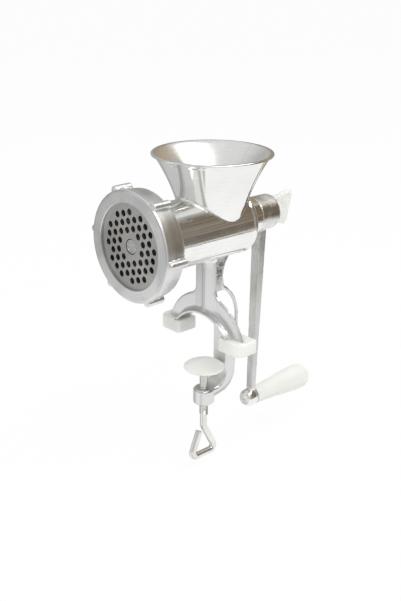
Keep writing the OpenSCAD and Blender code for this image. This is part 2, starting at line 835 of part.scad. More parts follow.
module grip() {
    steps = 10;
    flank_len = grip_len - grip_far_r;
    flank = [for (i = [0:steps]) let (u = i / steps)
        [grip_near_r + (grip_far_r - grip_near_r) * (1 - cos(180 * u)) / 2, 1 + (flank_len - 1) * u]];
    color(plastic_colour)
        translate([0, 0, grip_axis_z - axis_h])
            on_axis(grip_front_y)
                difference() {
                    rotate_extrude()
                        polygon(concat([[0, 0], [grip_near_r - 1, 0]], flank,
                            [for (a = [10:10:60]) [grip_far_r * cos(a), flank_len + grip_far_r * sin(a)]],
                            [[0, flank_len + grip_far_r * sin(60)]]));
                    translate([0, 0, -1])
                        cylinder(r = axle_r + run_fit, h = grip_len);
                    translate([0, 0, recess_y - grip_front_y])
                        cylinder(r = axle_head_r + loose_fit, h = grip_recess + 1);
                }
}

module grip_axle() {
    color(zinc_colour) {
        bar_y(axle_r, eye_front_y - 0.6, recess_y + face_gap + axle_head_t, 0, grip_axis_z);
        bar_y(axle_head_r, recess_y + face_gap, recess_y + face_gap + axle_head_t, 0, grip_axis_z);
        bar_y(axle_r + 1, eye_front_y - 0.8, eye_front_y, 0, grip_axis_z);
    }
}

module axle_washer() {
    color(zinc_colour)
        difference() {
            bar_y(grip_near_r - 1, washer_front_y, washer_front_y + axle_washer_t, 0, grip_axis_z);
            bar_y(axle_r + run_fit, washer_front_y - 1, washer_front_y + axle_washer_t + 1, 0, grip_axis_z);
        }
}

module foot_pad(side) {
    outline = concat(
        arc(pad_inner_x + pad_corner, pad_corner - pad_front, pad_corner, 180, 270, 5),
        arc(pad_outer_x - pad_round, pad_round - pad_front, pad_round, 270, 360, 12),
        arc(pad_outer_x - pad_corner, pad_back - pad_corner, pad_corner, 0, 90, 5),
        arc(pad_inner_x + pad_corner, pad_back - pad_corner, pad_corner, 90, 180, 5));
    color(plastic_colour)
        difference() {
            linear_extrude(pad_h)
                polygon([for (p = outline) [side * p[0] - pad_slip, p[1]]]);
            leg_shape();
        }
}

module left_foot_pad() {
    foot_pad(-1);
}

module right_foot_pad() {
    foot_pad(1);
}

// The bent rod's straights are a hair thinner than its bends, and run into them
rod_step = 0.02;
rod_lap = 0.05;

// A round rod along +Z that bends in the Y-Z plane. Each step is a straight length and the turn after it,
// where a positive turn leads towards +Y
module bent_rod(steps, r, i = 0) {
    turn = steps[i][1];
    translate([0, 0, -rod_lap])
        cylinder(r = r - rod_step, h = steps[i][0] + 2 * rod_lap);
    translate([0, 0, steps[i][0]])
        if (turn > 0)
            rod_bend(turn, r)
                bent_rod(steps, r, i + 1);
        else if (turn < 0)
            mirror([0, 1, 0])
                rod_bend(-turn, r)
                    mirror([0, 1, 0])
                        bent_rod(steps, r, i + 1);
}

module rod_bend(turn, r) {
    translate([0, rod_bend_r, 0])
        rotate([90, 0, -90])
            rotate_extrude(angle = turn)
                translate([rod_bend_r, 0])
                    circle(r = r);
    translate([0, rod_bend_r * (1 - cos(turn)), rod_bend_r * sin(turn)])
        rotate([-turn, 0, 0])
            children();
}

// How much thinner than the thread's core the screw's neck in the disc is
screw_neck_step = 0.2;

module clamp_screw() {
    turns = floor(thread_len / screw_pitch);
    thread = thread_rings(screw_r, screw_thread, screw_pitch, thread_foot_z, turns);
    neck_r = screw_r - screw_thread - screw_neck_step;
    washer_top_z = disc_foot_z + disc_washer_t;
    head_foot_z = washer_top_z + face_gap;
    head_t = 1.6;
    loop = [[rod_stub, -loop_slant], [loop_side, 90 + loop_slant], [loop_base, 90 + loop_back_slant],
        [loop_back, 0]];
    color(zinc_colour) {
        rotate_extrude()
            polygon(concat([[0, thread_foot_z]], thread,
                [[screw_r - screw_thread, thread_top_z], [neck_r, thread_top_z], [neck_r, head_foot_z],
                    [neck_r + 1.5, head_foot_z], [neck_r + 1.5, head_foot_z + head_t / 2],
                    [neck_r + 0.7, head_foot_z + head_t], [0, head_foot_z + head_t]]));
        translate([0, 0, thread_foot_z + 0.5])
            rotate([180, 0, 0])
                bent_rod(loop, rod_r);
    }
}

module clamp_disc() {
    dome_h = disc_h - disc_round;
    crown_r = (pow(disc_r, 2) + pow(dome_h, 2)) / (2 * dome_h);
    crown_angle = asin(disc_r / crown_r);
    cavity_r = screw_r + 2;
    color(plastic_colour)
        translate([0, 0, disc_foot_z])
            difference() {
                rotate_extrude()
                    polygon(concat([[0, 0]], arc(disc_r - disc_round, disc_round, disc_round, -90, 0),
                        [for (i = [1:10]) let (a = crown_angle * (1 - i / 10))
                            [crown_r * sin(a), disc_h - crown_r + crown_r * cos(a)]]));
                translate([0, 0, -1])
                    cylinder(r = disc_washer_r, h = disc_washer_t + 1);
                cylinder(r = cavity_r, h = disc_h - 1.8);
            }
}

module disc_washer() {
    color(zinc_colour)
        translate([0, 0, disc_foot_z])
            difference() {
                cylinder(r = disc_washer_r, h = disc_washer_t);
                translate([0, 0, -1])
                    cylinder(r = screw_r - screw_thread - screw_neck_step + run_fit, h = disc_washer_t + 2);
            }
}

casting_hopper();
casting_head();
casting_barrel();
casting_leg();
casting_clamp_arm();
ring_nut();
hole_plate();
plate_pin();
knife();
worm();
knife_stud();
worm_shaft();
thrust_washer();
crank_arm();
wing_knob();
wing_stud();
grip();
grip_axle();
axle_washer();
left_foot_pad();
right_foot_pad();
clamp_screw();
clamp_disc();
disc_washer();
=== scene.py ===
"""A hand-cranked meat grinder with a table clamp: its pieces, finishes, studio and camera."""

import json
import math

import bpy
from mathutils import Matrix, Vector

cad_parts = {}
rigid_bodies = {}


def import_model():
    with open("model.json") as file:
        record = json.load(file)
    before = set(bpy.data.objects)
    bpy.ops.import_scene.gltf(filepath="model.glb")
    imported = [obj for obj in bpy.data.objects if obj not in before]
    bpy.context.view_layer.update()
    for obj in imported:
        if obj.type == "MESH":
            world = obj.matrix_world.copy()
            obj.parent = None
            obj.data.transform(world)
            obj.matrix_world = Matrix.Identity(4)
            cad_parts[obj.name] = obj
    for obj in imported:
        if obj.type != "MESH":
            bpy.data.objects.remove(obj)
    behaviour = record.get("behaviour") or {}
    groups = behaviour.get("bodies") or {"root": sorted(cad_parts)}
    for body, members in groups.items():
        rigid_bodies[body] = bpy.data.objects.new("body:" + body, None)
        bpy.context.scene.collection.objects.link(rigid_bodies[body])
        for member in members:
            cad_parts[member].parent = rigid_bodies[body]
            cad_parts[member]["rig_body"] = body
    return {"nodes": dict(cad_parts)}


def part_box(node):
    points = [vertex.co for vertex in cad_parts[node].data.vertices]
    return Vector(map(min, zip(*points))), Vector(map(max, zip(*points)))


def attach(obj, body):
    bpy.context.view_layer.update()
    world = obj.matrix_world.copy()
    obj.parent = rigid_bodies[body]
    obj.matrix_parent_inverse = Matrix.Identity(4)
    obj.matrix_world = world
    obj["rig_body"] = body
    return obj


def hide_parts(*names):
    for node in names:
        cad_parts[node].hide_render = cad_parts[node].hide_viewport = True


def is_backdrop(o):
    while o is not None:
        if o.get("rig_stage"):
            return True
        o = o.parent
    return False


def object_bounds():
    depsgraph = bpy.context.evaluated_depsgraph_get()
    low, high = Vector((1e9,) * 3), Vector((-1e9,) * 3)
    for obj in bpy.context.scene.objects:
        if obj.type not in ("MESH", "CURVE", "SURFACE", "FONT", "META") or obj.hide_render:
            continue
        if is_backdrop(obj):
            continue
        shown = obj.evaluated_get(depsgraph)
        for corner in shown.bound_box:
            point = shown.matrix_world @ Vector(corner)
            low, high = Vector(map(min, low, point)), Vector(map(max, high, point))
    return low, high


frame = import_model()
cad_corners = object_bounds()

# All sizes below are in millimetres. The helpers turn them into metres.
MM = 0.001
AXES = {"X": Vector((1, 0, 0)), "Y": Vector((0, 1, 0)), "Z": Vector((0, 0, 1))}


def corners(node):
    """A CAD node's lowest and highest corner."""
    low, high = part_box(node)
    return low / MM, high / MM


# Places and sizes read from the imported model
HEAD_LOW, HEAD_HIGH = corners("casting_head")
AXIS_Z = (HEAD_LOW.z + HEAD_HIGH.z) / 2
HEAD_R = HEAD_HIGH.x
HEAD_FRONT = HEAD_LOW.y
BARREL_LOW, BARREL_HIGH = corners("casting_barrel")
NECK_BACK = BARREL_HIGH.y
HOPPER_LOW, HOPPER_HIGH = corners("casting_hopper")
HOPPER_Y = (HOPPER_LOW.y + HOPPER_HIGH.y) / 2
HOPPER_H = HOPPER_HIGH.z - AXIS_Z
RIM_R = HOPPER_HIGH.x
RING_LOW, RING_HIGH = corners("ring_nut")
PLATE_LOW, PLATE_HIGH = corners("hole_plate")
HUB_LOW, HUB_HIGH = corners("crank_arm")
WING_LOW, WING_HIGH = corners("wing_knob")
GRIP_LOW, GRIP_HIGH = corners("grip")
GRIP_Z = (GRIP_LOW.z + GRIP_HIGH.z) / 2
WASHER_LOW, WASHER_HIGH = corners("axle_washer")
DISC_LOW, DISC_HIGH = corners("clamp_disc")
SCREW_LOW, SCREW_HIGH = corners("clamp_screw")
ARM_LOW, ARM_HIGH = corners("casting_clamp_arm")
LEFT_PAD_LOW, LEFT_PAD_HIGH = corners("left_foot_pad")
RIGHT_PAD_LOW, RIGHT_PAD_HIGH = corners("right_foot_pad")

# The casting's own sizes
BARREL_R = 25.5
BARREL_BACK = 32.5
BACK_WALL = 4
NECK_R = 15.5
SHOULDER_R = 4
BORE_R = 22.5
CHAMBER_R = 31.5
JOURNAL_BORE = 8.06
FLANK_FOOT_R = 22.8
FLANK_TOP_R = 45
FLANK_STRAIGHT = 0.354
FLARE_H = 4.4
HOPPER_WALL = 2.6
THROAT_R = 21.6
LEG_HALF_W = 11
LEG_T = 3
RIDGE_OUT = 1.4
ARCH_R = 34.4
ARCH_DROP = 10.5
FOOT_R = 43.3
FOOT_DROP = 3.2
CREST_HALF_W = 1.3
CREST_OUT = 0.5
LEG_FILLET = 8
PAD_FLOOR = 3.5
BEAD_T = 2.4
BEAD_LIP_T = 1.4
BEAD_FRONT = 6
BEAD_BACK = 11
BOSS_R = 8.65
BOSS_H = 13.7
SCREW_R = 3.6
ROD_R = 2.9
THREAD_TOP = DISC_LOW.z - 0.1
THREAD_FOOT = THREAD_TOP - 42.5
# how far the clamp screw sinks at the end of its travel
SCREW_DROP = 9

FINE = 160
SMALL = 64


def arc(cx, cy, r, start, end, count=8):
    """Points of an arc, from one angle in degrees to another."""
    turns = [math.radians(start + (end - start) * i / count) for i in range(count + 1)]
    return [(cx + r * math.cos(a), cy + r * math.sin(a)) for a in turns]


def idle():
    """Back to object mode with nothing selected."""
    if bpy.context.mode != "OBJECT":
        bpy.ops.object.mode_set(mode="OBJECT")
    bpy.ops.object.select_all(action="DESELECT")


def take(*objs):
    """These objects selected, and the first one active."""
    idle()
    for obj in objs:
        obj.select_set(True)
    bpy.context.view_layer.objects.active = objs[0]
    return objs[0]


def close(obj):
    """Merged doubles, no open edges, and faces that point outwards."""
    bpy.ops.mesh.select_all(action="SELECT")
    bpy.ops.mesh.remove_doubles(threshold=0.002 * MM)
    bpy.ops.mesh.fill_holes(sides=0)
    bpy.ops.mesh.select_all(action="SELECT")
    bpy.ops.mesh.normals_make_consistent(inside=False)
    idle()
    return obj


def drawn(name, points):
    """An edge through the points, made by extruding one vertex from each point to the next."""
    idle()
    places = [Vector(p) * MM for p in points]
    bpy.ops.mesh.primitive_plane_add(size=MM, location=places[0])
    obj = bpy.context.object
    obj.name = obj.data.name = name
    bpy.ops.object.transform_apply(location=True, rotation=True, scale=True)
    bpy.ops.object.mode_set(mode="EDIT")
    bpy.ops.mesh.select_all(action="SELECT")
    bpy.ops.mesh.merge(type="CENTER")
    for here, there in zip(places, places[1:]):
        bpy.ops.mesh.extrude_vertices_move(TRANSFORM_OT_translate={"value": there - here})
    return obj


def turned(name, profile, foot=(0, 0, 0), along="Y", steps=FINE):
    """A body of revolution. A profile point is a radius and a distance along the axis from foot."""
    foot = Vector(foot)
    side = AXES["X"]
    obj = drawn(name, [foot + side * r + AXES[along] * t for r, t in profile])
    bpy.ops.mesh.select_all(action="SELECT")
    bpy.ops.mesh.spin(steps=steps, angle=2 * math.pi, center=foot * MM, axis=AXES[along])
    return close(obj)


def slab(name, outline, push):
    """A flat outline, filled and pushed out to a thickness."""
    obj = drawn(name, list(outline) + [outline[0]])
    bpy.ops.mesh.select_all(action="SELECT")
    bpy.ops.mesh.remove_doubles(threshold=0.002 * MM)
    bpy.ops.mesh.edge_face_add()
    bpy.ops.mesh.extrude_region_move(TRANSFORM_OT_translate={"value": Vector(push) * MM})
    return close(obj)


def slab_x(name, outline, thickness, x=0):
    """An outline in Y and Z with a thickness across X."""
    return slab(name, [(x - thickness / 2, y, z) for y, z in outline], (thickness, 0, 0))


def bar(name, radius, low, high, foot=(0, 0, 0), along="Y", steps=SMALL):
    """A round bar with small broken edges."""
    edge = min(0.3, radius / 4)
    profile = [(0, low), (radius - edge, low), (radius, low + edge), (radius, high - edge), (radius - edge, high), (0, high)]
    return turned(name, profile, foot, along, steps)


def joined(name, parts):
    """Several objects as one, each shell kept whole."""
    obj = take(*parts)
    if len(parts) > 1:
        bpy.ops.object.join()
    obj.name = obj.data.name = name
    return obj


def modify(obj, kind, **settings):
    """A modifier, set and applied."""
    take(obj)
    modifier = obj.modifiers.new(kind.title(), kind)
    for key, value in settings.items():
        setattr(modifier, key, value)
    bpy.ops.object.modifier_apply(modifier=modifier.name)
    return obj


def drop(*objs):
    for obj in objs:
        bpy.data.objects.remove(obj)


def softened(obj, width):
    """Sharp edges rounded, so that the mesh of a fused form follows them cleanly."""
    modify(obj, "BEVEL", width=width * MM, segments=4, limit_method="ANGLE", angle_limit=math.radians(50))
    return obj


def cut(obj, *tools):
    """The object without the room that the tools take."""
    for tool in tools:
        modify(obj, "BOOLEAN", operation="DIFFERENCE", solver="EXACT", object=tool)
    drop(*tools)
    return obj


def united(obj, *parts):
    for part in parts:
        modify(obj, "BOOLEAN", operation="UNION", solver="EXACT", object=part)
    drop(*parts)
    return obj


def fused(name, parts, voxel, rounds, reach):
    """The parts run together as in a mould. Inner corners fill to a fillet and edges break, while open stretches
    go back to the parts' own surfaces. reach is how far a point may lie from them and still go back."""
    exact = joined(name + "_form", parts)
    obj = exact.copy()
    obj.data = exact.data.copy()
    bpy.context.scene.collection.objects.link(obj)
    obj.name = obj.data.name = name
    modify(obj, "REMESH", mode="VOXEL", voxel_size=voxel * MM)
    modify(obj, "SMOOTH", factor=0.5, iterations=rounds)
    near = obj.vertex_groups.new(name="near")
    near.add(range(len(obj.data.vertices)), 1.0, "REPLACE")
    modify(obj, "VERTEX_WEIGHT_PROXIMITY", vertex_group="near", target=exact, proximity_mode="GEOMETRY",
        proximity_geometry={"FACE"}, min_dist=reach * MM, max_dist=reach * MM / 2, falloff_type="SMOOTH")
    modify(obj, "SHRINKWRAP", target=exact, wrap_method="NEAREST_SURFACEPOINT", vertex_group="near")
    modify(obj, "SMOOTH", factor=0.5, iterations=4 * rounds, vertex_group="near", invert_vertex_group=True)
    obj.vertex_groups.clear()
    drop(exact)
    return obj


def finished(obj, material, slot, *nodes, angle=35):
    """A piece ready to show: smooth up to an angle, in its material, and standing for its CAD nodes."""
    take(obj)
    bpy.ops.object.shade_smooth_by_angle(angle=math.radians(angle))
    obj.data.materials.clear()
    obj.data.materials.append(material)
    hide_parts(*nodes)
    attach(obj, frame["nodes"][nodes[0]]["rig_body"])
    return obj


# Shader sums

class Value:
    """A socket that adds its Math nodes as it is used in a sum."""

    def __init__(self, finish, socket):
        self.finish = finish
        self.socket = socket

    def sum(self, operation, *others):
        return self.finish.node("ShaderNodeMath", {"operation": operation}, *others)

    def __add__(self, other):
        return self.sum("ADD", self, other)

    def __radd__(self, other):
        return self.sum("ADD", other, self)

    def __sub__(self, other):
        return self.sum("SUBTRACT", self, other)

    def __rsub__(self, other):
        return self.sum("SUBTRACT", other, self)

    def __mul__(self, other):
        return self.sum("MULTIPLY", self, other)

    def __rmul__(self, other):
        return self.sum("MULTIPLY", other, self)

    def __truediv__(self, other):
        return self.sum("DIVIDE", self, other)

    def power(self, other):
        return self.sum("POWER", self, other)

    def sine(self):
        return self.sum("SINE", self)

    def between(self, low, high):
        """0 at low, 1 at high, held beyond them."""
        return self.finish.node("ShaderNodeMapRange", {"interpolation_type": "SMOOTHSTEP"}, self, low, high, 0.0, 1.0)


class Finish:
    """A material with one Principled shader, built from sums."""

    def __init__(self, name):
        self.material = bpy.data.materials.new(name)
        self.material.use_nodes = True
        self.tree = self.material.node_tree
        self.shader = self.tree.nodes["Principled BSDF"]
        self.place = self.node("ShaderNodeTexCoord", {}, output="Object")

    def node(self, kind, settings, *inputs, output=0, **named):
        """A node of a kind, with its settings first and then what its sockets hold."""
        made = self.tree.nodes.new(kind)
        for key, value in settings.items():
            if key == "stops":
                ramp = made.color_ramp
                while len(ramp.elements) < len(value):
                    ramp.elements.new(0.5)
                for element, (position, colour) in zip(ramp.elements, value):
                    element.position = position
                    element.color = (*colour, 1)
            else:
                setattr(made, key, value)
        for key, value in [*enumerate(inputs), *named.items()]:
            self.feed(made.inputs[key], value)
        return Value(self, made.outputs[output])

    def feed(self, socket, value):
        if isinstance(value, Value):
            self.tree.links.new(value.socket, socket)
        elif value is not None:
            socket.default_value = value

    def noise(self, scale, detail=2.0, stretch=(1, 1, 1), roughness=0.5):
        """Noise by the piece's own place, with scale in turns per metre, stretched by axis."""
        at = self.node("ShaderNodeMapping", {}, self.place, Scale=stretch)
        return self.node("ShaderNodeTexNoise", {}, Vector=at, Scale=scale, Detail=detail, Roughness=roughness)

    def split(self):
        """The place's X, Y and Z."""
        return [self.node("ShaderNodeSeparateXYZ", {}, self.place, output=k) for k in range(3)]

    def blend(self, share, one, other):
        """A colour between two colours."""
        made = self.tree.nodes.new("ShaderNodeMix")
        made.data_type = "RGBA"
        for key, value in (("Factor", share), ("A", one), ("B", other)):
            socket = next(s for s in made.inputs if s.name == key and s.type in ("VALUE" if key == "Factor" else "RGBA"))
            self.feed(socket, (*value, 1) if isinstance(value, tuple) else value)
        return Value(self, next(s for s in made.outputs if s.type == "RGBA"))

    def bumped(self, height, depth):
        """A height field as a bump, with its depth in millimetres."""
        bump = self.node("ShaderNodeBump", {}, Strength=1.0, Distance=depth * MM, Height=height)
        self.feed(self.shader.inputs["Normal"], bump)

    def set(self, **values):
        for key, value in values.items():
            self.feed(self.shader.inputs[key.replace("_", " ")], value)
        return self


def dist(finish, a, b):
    """Length of two legs."""
    return (a * a + b * b).power(0.5)


def metal(name, light, dark, roughness, grain, grain_depth, streak=(1, 1, 1), streak_scale=900, spread=0.06):
    """A metal whose colour and polish drift a little, with a fine grain."""
    f = Finish(name)
    drift = f.noise(35, 3)
    streaks = f.noise(streak_scale, 3, streak, 0.6)
    colour = f.blend(drift.between(0.3, 0.7), dark, light)
    colour = f.blend(streaks.between(0.4, 0.7) * 0.6, colour, dark)
    f.set(Base_Color=colour, Metallic=1.0, Roughness=roughness + (drift - 0.5) * spread + (streaks - 0.5) * spread)
    f.bumped(f.noise(grain, 2) * 0.5 + streaks * 0.5, grain_depth)
    return f.material


def cast_aluminium():
    """Polished on the barrel, the funnel and the neck, and satin on the leg, the arch and the arm."""
    f = Finish("cast_aluminium")
    x, y, z = f.split()
    satin = 1 - z.between(60 * MM, 68 * MM)
    funnel = z.between((AXIS_Z + 27) * MM, (AXIS_Z + 31) * MM)
    drift = f.noise(24, 3)
    along = f.noise(1000, 4, (1, 0.05, 1), 0.65)
    around = f.noise(1100, 4, (0.12, 0.12, 1), 0.6)
    rubbed = along + funnel * (around - along)
    height = (z - AXIS_Z * MM) / (HOPPER_H * MM)
    middle = FLANK_FOOT_R + (FLANK_TOP_R - FLANK_FOOT_R) * (height * FLANK_STRAIGHT + height * height * (1 - FLANK_STRAIGHT)) - 1.3
    inside = funnel * (1 - (dist(f, x, y - HOPPER_Y * MM) - middle * MM).between(-0.3 * MM, 0.3 * MM))
    worn = f.noise(90, 5, (1, 0.35, 1), 0.7).between(0.52, 0.68)
    grain = f.noise(2400, 3)
    polished_colour = f.blend(drift.between(0.3, 0.7), (0.84, 0.84, 0.82), (0.92, 0.925, 0.915))
    polished_colour = f.blend(rubbed.between(0.5, 0.75) * 0.3, polished_colour, (0.62, 0.61, 0.58))
    satin_colour = f.blend(grain.between(0.35, 0.65), (0.70, 0.705, 0.70), (0.80, 0.805, 0.80))
    # painted reflection: the crest strip down the front of the leg is darkened, standing for the dark surroundings that
    # it mirrors
    crest = (1 - (x * x).power(0.5).between(CREST_HALF_W * MM, (CREST_HALF_W + 0.5) * MM)) * (1 - y.between(0, MM))
    crest = crest * z.between((ARCH_R - ARCH_DROP + 2) * MM, (ARCH_R - ARCH_DROP + 5) * MM)
    satin_colour = f.blend(crest * 0.7, satin_colour, (0.50, 0.505, 0.495))
    web = (1 - (x * x).power(0.5).between(1.3 * MM, 1.5 * MM)) * z.between(40 * MM, 52 * MM) * y.between(3 * MM, 4 * MM)
    skin = f.noise(520, 4, (1, 1, 1), 0.7)
    satin_colour = f.blend(web * skin.between(0.42, 0.55), satin_colour, (0.24, 0.245, 0.235))
    f.set(Base_Color=f.blend(satin, polished_colour, satin_colour), Metallic=1.0)
    polish = 0.09 + (drift - 0.5) * 0.05 + (rubbed - 0.5) * 0.10 + worn * 0.12 * (1 - funnel) + inside * 0.2
    rough = 0.29 + (grain - 0.5) * 0.15 + (drift - 0.5) * 0.1 + web * 0.25
    f.set(Roughness=polish + satin * (rough - polish))
    f.bumped(rubbed * 0.3 + worn * 0.4 + f.noise(120, 2) * 0.5 + grain * satin + web * skin * 8, 0.018)
    return f.material


def ring_aluminium():
    """Turned aluminium: fine rings round the axis on the front and along the side."""
    f = Finish("ring_aluminium")
    x, y, z = f.split()
    from_axis = dist(f, x, z - AXIS_Z * MM)
    lines = f.node("ShaderNodeTexNoise", {"noise_dimensions": "1D"}, W=from_axis + y * 0.8, Scale=2600, Detail=3.0)
    drift = f.noise(45, 3)
    grain = f.noise(1800, 3)
    side = from_axis.between((RING_HIGH.x - 4) * MM, (RING_HIGH.x - 3.4) * MM)
    colour = f.blend(drift.between(0.3, 0.7), (0.60, 0.61, 0.61), (0.80, 0.805, 0.80))
    colour = f.blend(lines.between(0.4, 0.8) * 0.5, colour, (0.54, 0.545, 0.54))
    # painted highlight: the outer edge, the side and the ribs are lighter in colour; their extra roughness is the
    # turned side's own
    colour = f.blend(side * 0.6, colour, (0.88, 0.88, 0.87))
    f.set(Base_Color=colour, Metallic=1.0, Roughness=0.30 + side * 0.06 + (lines - 0.5) * 0.16 + (grain - 0.5) * 0.12)
    f.bumped(lines * 0.6 + grain * 0.4, 0.012)
    return f.material


def white_plastic(name="white_plastic"):
    """Warm white moulded plastic that lets a little light in."""
    f = Finish(name)
    drift = f.noise(22, 2)
    skin = f.noise(1500, 2)
    colour = f.blend(drift.between(0.3, 0.7), (0.80, 0.80, 0.765), (0.86, 0.86, 0.83))
    f.set(Base_Color=colour, Roughness=0.42 + (skin - 0.5) * 0.1, Subsurface_Weight=0.35, Subsurface_Scale=0.004,
        Subsurface_Radius=(1.0, 0.9, 0.75), IOR=1.5)
    f.bumped(skin, 0.004)
    return f.material


def crank_metal():
    """Forged and tumbled: mottled on the hub, drawn out along the arm, and bright on the eye."""
    f = Finish("crank_casting")
    x, y, z = f.split()
    eye = 1 - z.between((GRIP_Z + 8) * MM, (GRIP_Z + 10) * MM)
    hub = z.between((AXIS_Z - 14) * MM, (AXIS_Z - 12) * MM)
    patches = f.noise(85, 4, (1, 1, 1), 0.6).between(0.42, 0.6)
    streaks = f.noise(1100, 3, (1, 1, 0.06), 0.6)
    round_streaks = f.noise(900, 3, (1, 0.08, 1), 0.6)
    lines = streaks + hub * (round_streaks - streaks)
    arm = (1 - hub) * (1 - eye)
    upper = hub * (z + (patches - 0.5) * 4 * MM).between((AXIS_Z + 5) * MM, (AXIS_Z + 9) * MM)
    colour = f.blend(patches, (0.68, 0.685, 0.67), (0.86, 0.86, 0.845))
    colour = f.blend(lines.between(0.45, 0.72) * 0.5, colour, (0.42, 0.42, 0.405))
    colour = f.blend(arm * 0.5, colour, (0.56, 0.56, 0.545))
    colour = f.blend(eye, colour, (0.88, 0.88, 0.87))
    f.set(Base_Color=colour, Metallic=1.0, Roughness=0.13 + arm * 0.12 + patches * (1 - eye) * 0.12 + hub * 0.1 + upper * 0.2 + (lines - 0.5) * 0.12)
    f.bumped(f.noise(2200, 2) * 0.4 + lines * 0.6 + patches * 1.5 * hub, 0.014)
    return f.material


CAST = cast_aluminium()
RING = ring_aluminium()
WHITE = white_plastic()
PLATE_STEEL = metal("plate_steel", (0.50, 0.495, 0.48), (0.39, 0.385, 0.37), 0.40, 3000, 0.012, (1, 1, 0.2), 1500, 0.1)
TOOL_STEEL = metal("tool_steel", (0.60, 0.60, 0.59), (0.46, 0.46, 0.45), 0.26, 2500, 0.008)
WORM_CAST = metal("worm_casting", (0.62, 0.62, 0.61), (0.5, 0.5, 0.49), 0.5, 1800, 0.05)
CRANK = crank_metal()
ZINC = metal("zinc_steel", (0.93, 0.93, 0.91), (0.76, 0.76, 0.735), 0.24, 2400, 0.01, (1, 1, 0.3), 1000, 0.12)
NYLON = white_plastic("washer_plastic")


def place(node, material):
    """A carried-over CAD node in its material."""
    obj = frame["nodes"][node]
    obj.data.materials.clear()
    obj.data.materials.append(material)


# The body casting

def barrel_form():
    head_back = RING_HIGH.y + 1
    neck_start = head_back + 2 * SHOULDER_R
    profile = [(0, HEAD_FRONT), (HEAD_R - 0.8, HEAD_FRONT), (HEAD_R, HEAD_FRONT + 0.8)]
    profile += arc(HEAD_R - SHOULDER_R, head_back, SHOULDER_R, 0, 90)
    profile += arc(BARREL_R + SHOULDER_R, neck_start, SHOULDER_R, -90, -180)
    profile += [(BARREL_R, BARREL_BACK - 5.6), (BARREL_R + 0.25, BARREL_BACK - 5), (BARREL_R + 0.7, BARREL_BACK - 4)]
    profile += arc(BARREL_R - 2.3, BARREL_BACK - 3, 3, 0, 90, 8)
    profile += arc(NECK_R + 2, BARREL_BACK + 2, 2, -90, -180, 4)
    profile += [(NECK_R, NECK_BACK - 1), (NECK_R - 1, NECK_BACK), (0, NECK_BACK)]
    return turned("barrel_form", profile, (0, 0, AXIS_Z))


def flank_r(h):
    """Radius of the funnel's outer flank at a height over the barrel's axis."""
    u = h / HOPPER_H
    return FLANK_FOOT_R + (FLANK_TOP_R - FLANK_FOOT_R) * (FLANK_STRAIGHT * u + (1 - FLANK_STRAIGHT) * u * u)


def inner_r(h):
    """Radius of the funnel's inner face."""
    u = (h - BORE_R) / (HOPPER_H - BORE_R)
    return THROAT_R + (RIM_R - HOPPER_WALL - THROAT_R) * (0.5 * u + 0.5 * u * u)


def funnel_form():
    """The funnel as a solid cone, taller than it is. The rim's own piece goes on where this one is cut off."""
    steps = 26
    profile = [(0, 0)] + [(flank_r(h), h) for h in ((HOPPER_H + 2) * i / steps for i in range(steps + 1))]
    profile += [(0, HOPPER_H + 2)]
    return turned("funnel_form", profile, (0, HOPPER_Y, AXIS_Z), "Z")


def rim_form():
    """The flared rim with its rolled lip."""
    crease_h = HOPPER_H - FLARE_H
    lip_r = 0.9
    foot_r = flank_r(crease_h)
    profile = [(0, crease_h - 2), (foot_r - 1.4, crease_h - 2), (foot_r - 0.5, crease_h - 0.1), (foot_r + 0.12, crease_h)]
    profile += [(foot_r + 0.5, crease_h + 0.9), (foot_r + 1.5, crease_h + 2.3)]
    profile += arc(RIM_R - lip_r, HOPPER_H - lip_r, lip_r, -35, 90, 8) + [(0, HOPPER_H)]
    return turned("rim_form", profile, (0, HOPPER_Y, AXIS_Z), "Z")


def leg_outline():
    """Half of the leg's outline in X and Z, from the top down to the foot and up the arch."""
    fillet_x = LEG_HALF_W + LEG_FILLET
    fillet_z = -FOOT_DROP + math.sqrt((FOOT_R + LEG_FILLET) ** 2 - fillet_x ** 2)
    touch = math.degrees(math.atan2(fillet_z + FOOT_DROP, fillet_x))
    foot = math.degrees(math.asin((PAD_FLOOR + FOOT_DROP) / FOOT_R))
    arch = math.degrees(math.asin((PAD_FLOOR + ARCH_DROP) / ARCH_R))
    half = [(LEG_HALF_W, AXIS_Z - 12)]
    half += arc(fillet_x, fillet_z, LEG_FILLET, 180, 180 + touch, 10)
    half += arc(0, -FOOT_DROP, FOOT_R, touch, foot, 20)[1:]
    return half + arc(0, -ARCH_DROP, ARCH_R, arch, 90, 24)


def leg_forms():
    half = leg_outline()
    whole = half + [(-x, z) for x, z in reversed(half[:-1])]
    web = slab("leg_form", [(x, 0, z) for x, z in whole], (0, LEG_T, 0))
    ridge_foot = ARCH_R - ARCH_DROP + BEAD_T
    crest_foot = -RIDGE_OUT * (1 - CREST_HALF_W / LEG_HALF_W)
    crest = [(-CREST_HALF_W - 0.4, crest_foot), (-CREST_HALF_W, crest_foot - CREST_OUT)]
    half_ridge = [(-LEG_HALF_W, 0.02), (-LEG_HALF_W, 0)] + crest
    ridge_outline = half_ridge + [(-x, y) for x, y in reversed(half_ridge)]
    ridge = slab("ridge_form", [(x, y, ridge_foot) for x, y in ridge_outline], (0, 0, AXIS_Z - 12 - ridge_foot))
    return [softened(web, 0.6), ridge, bead_form()]


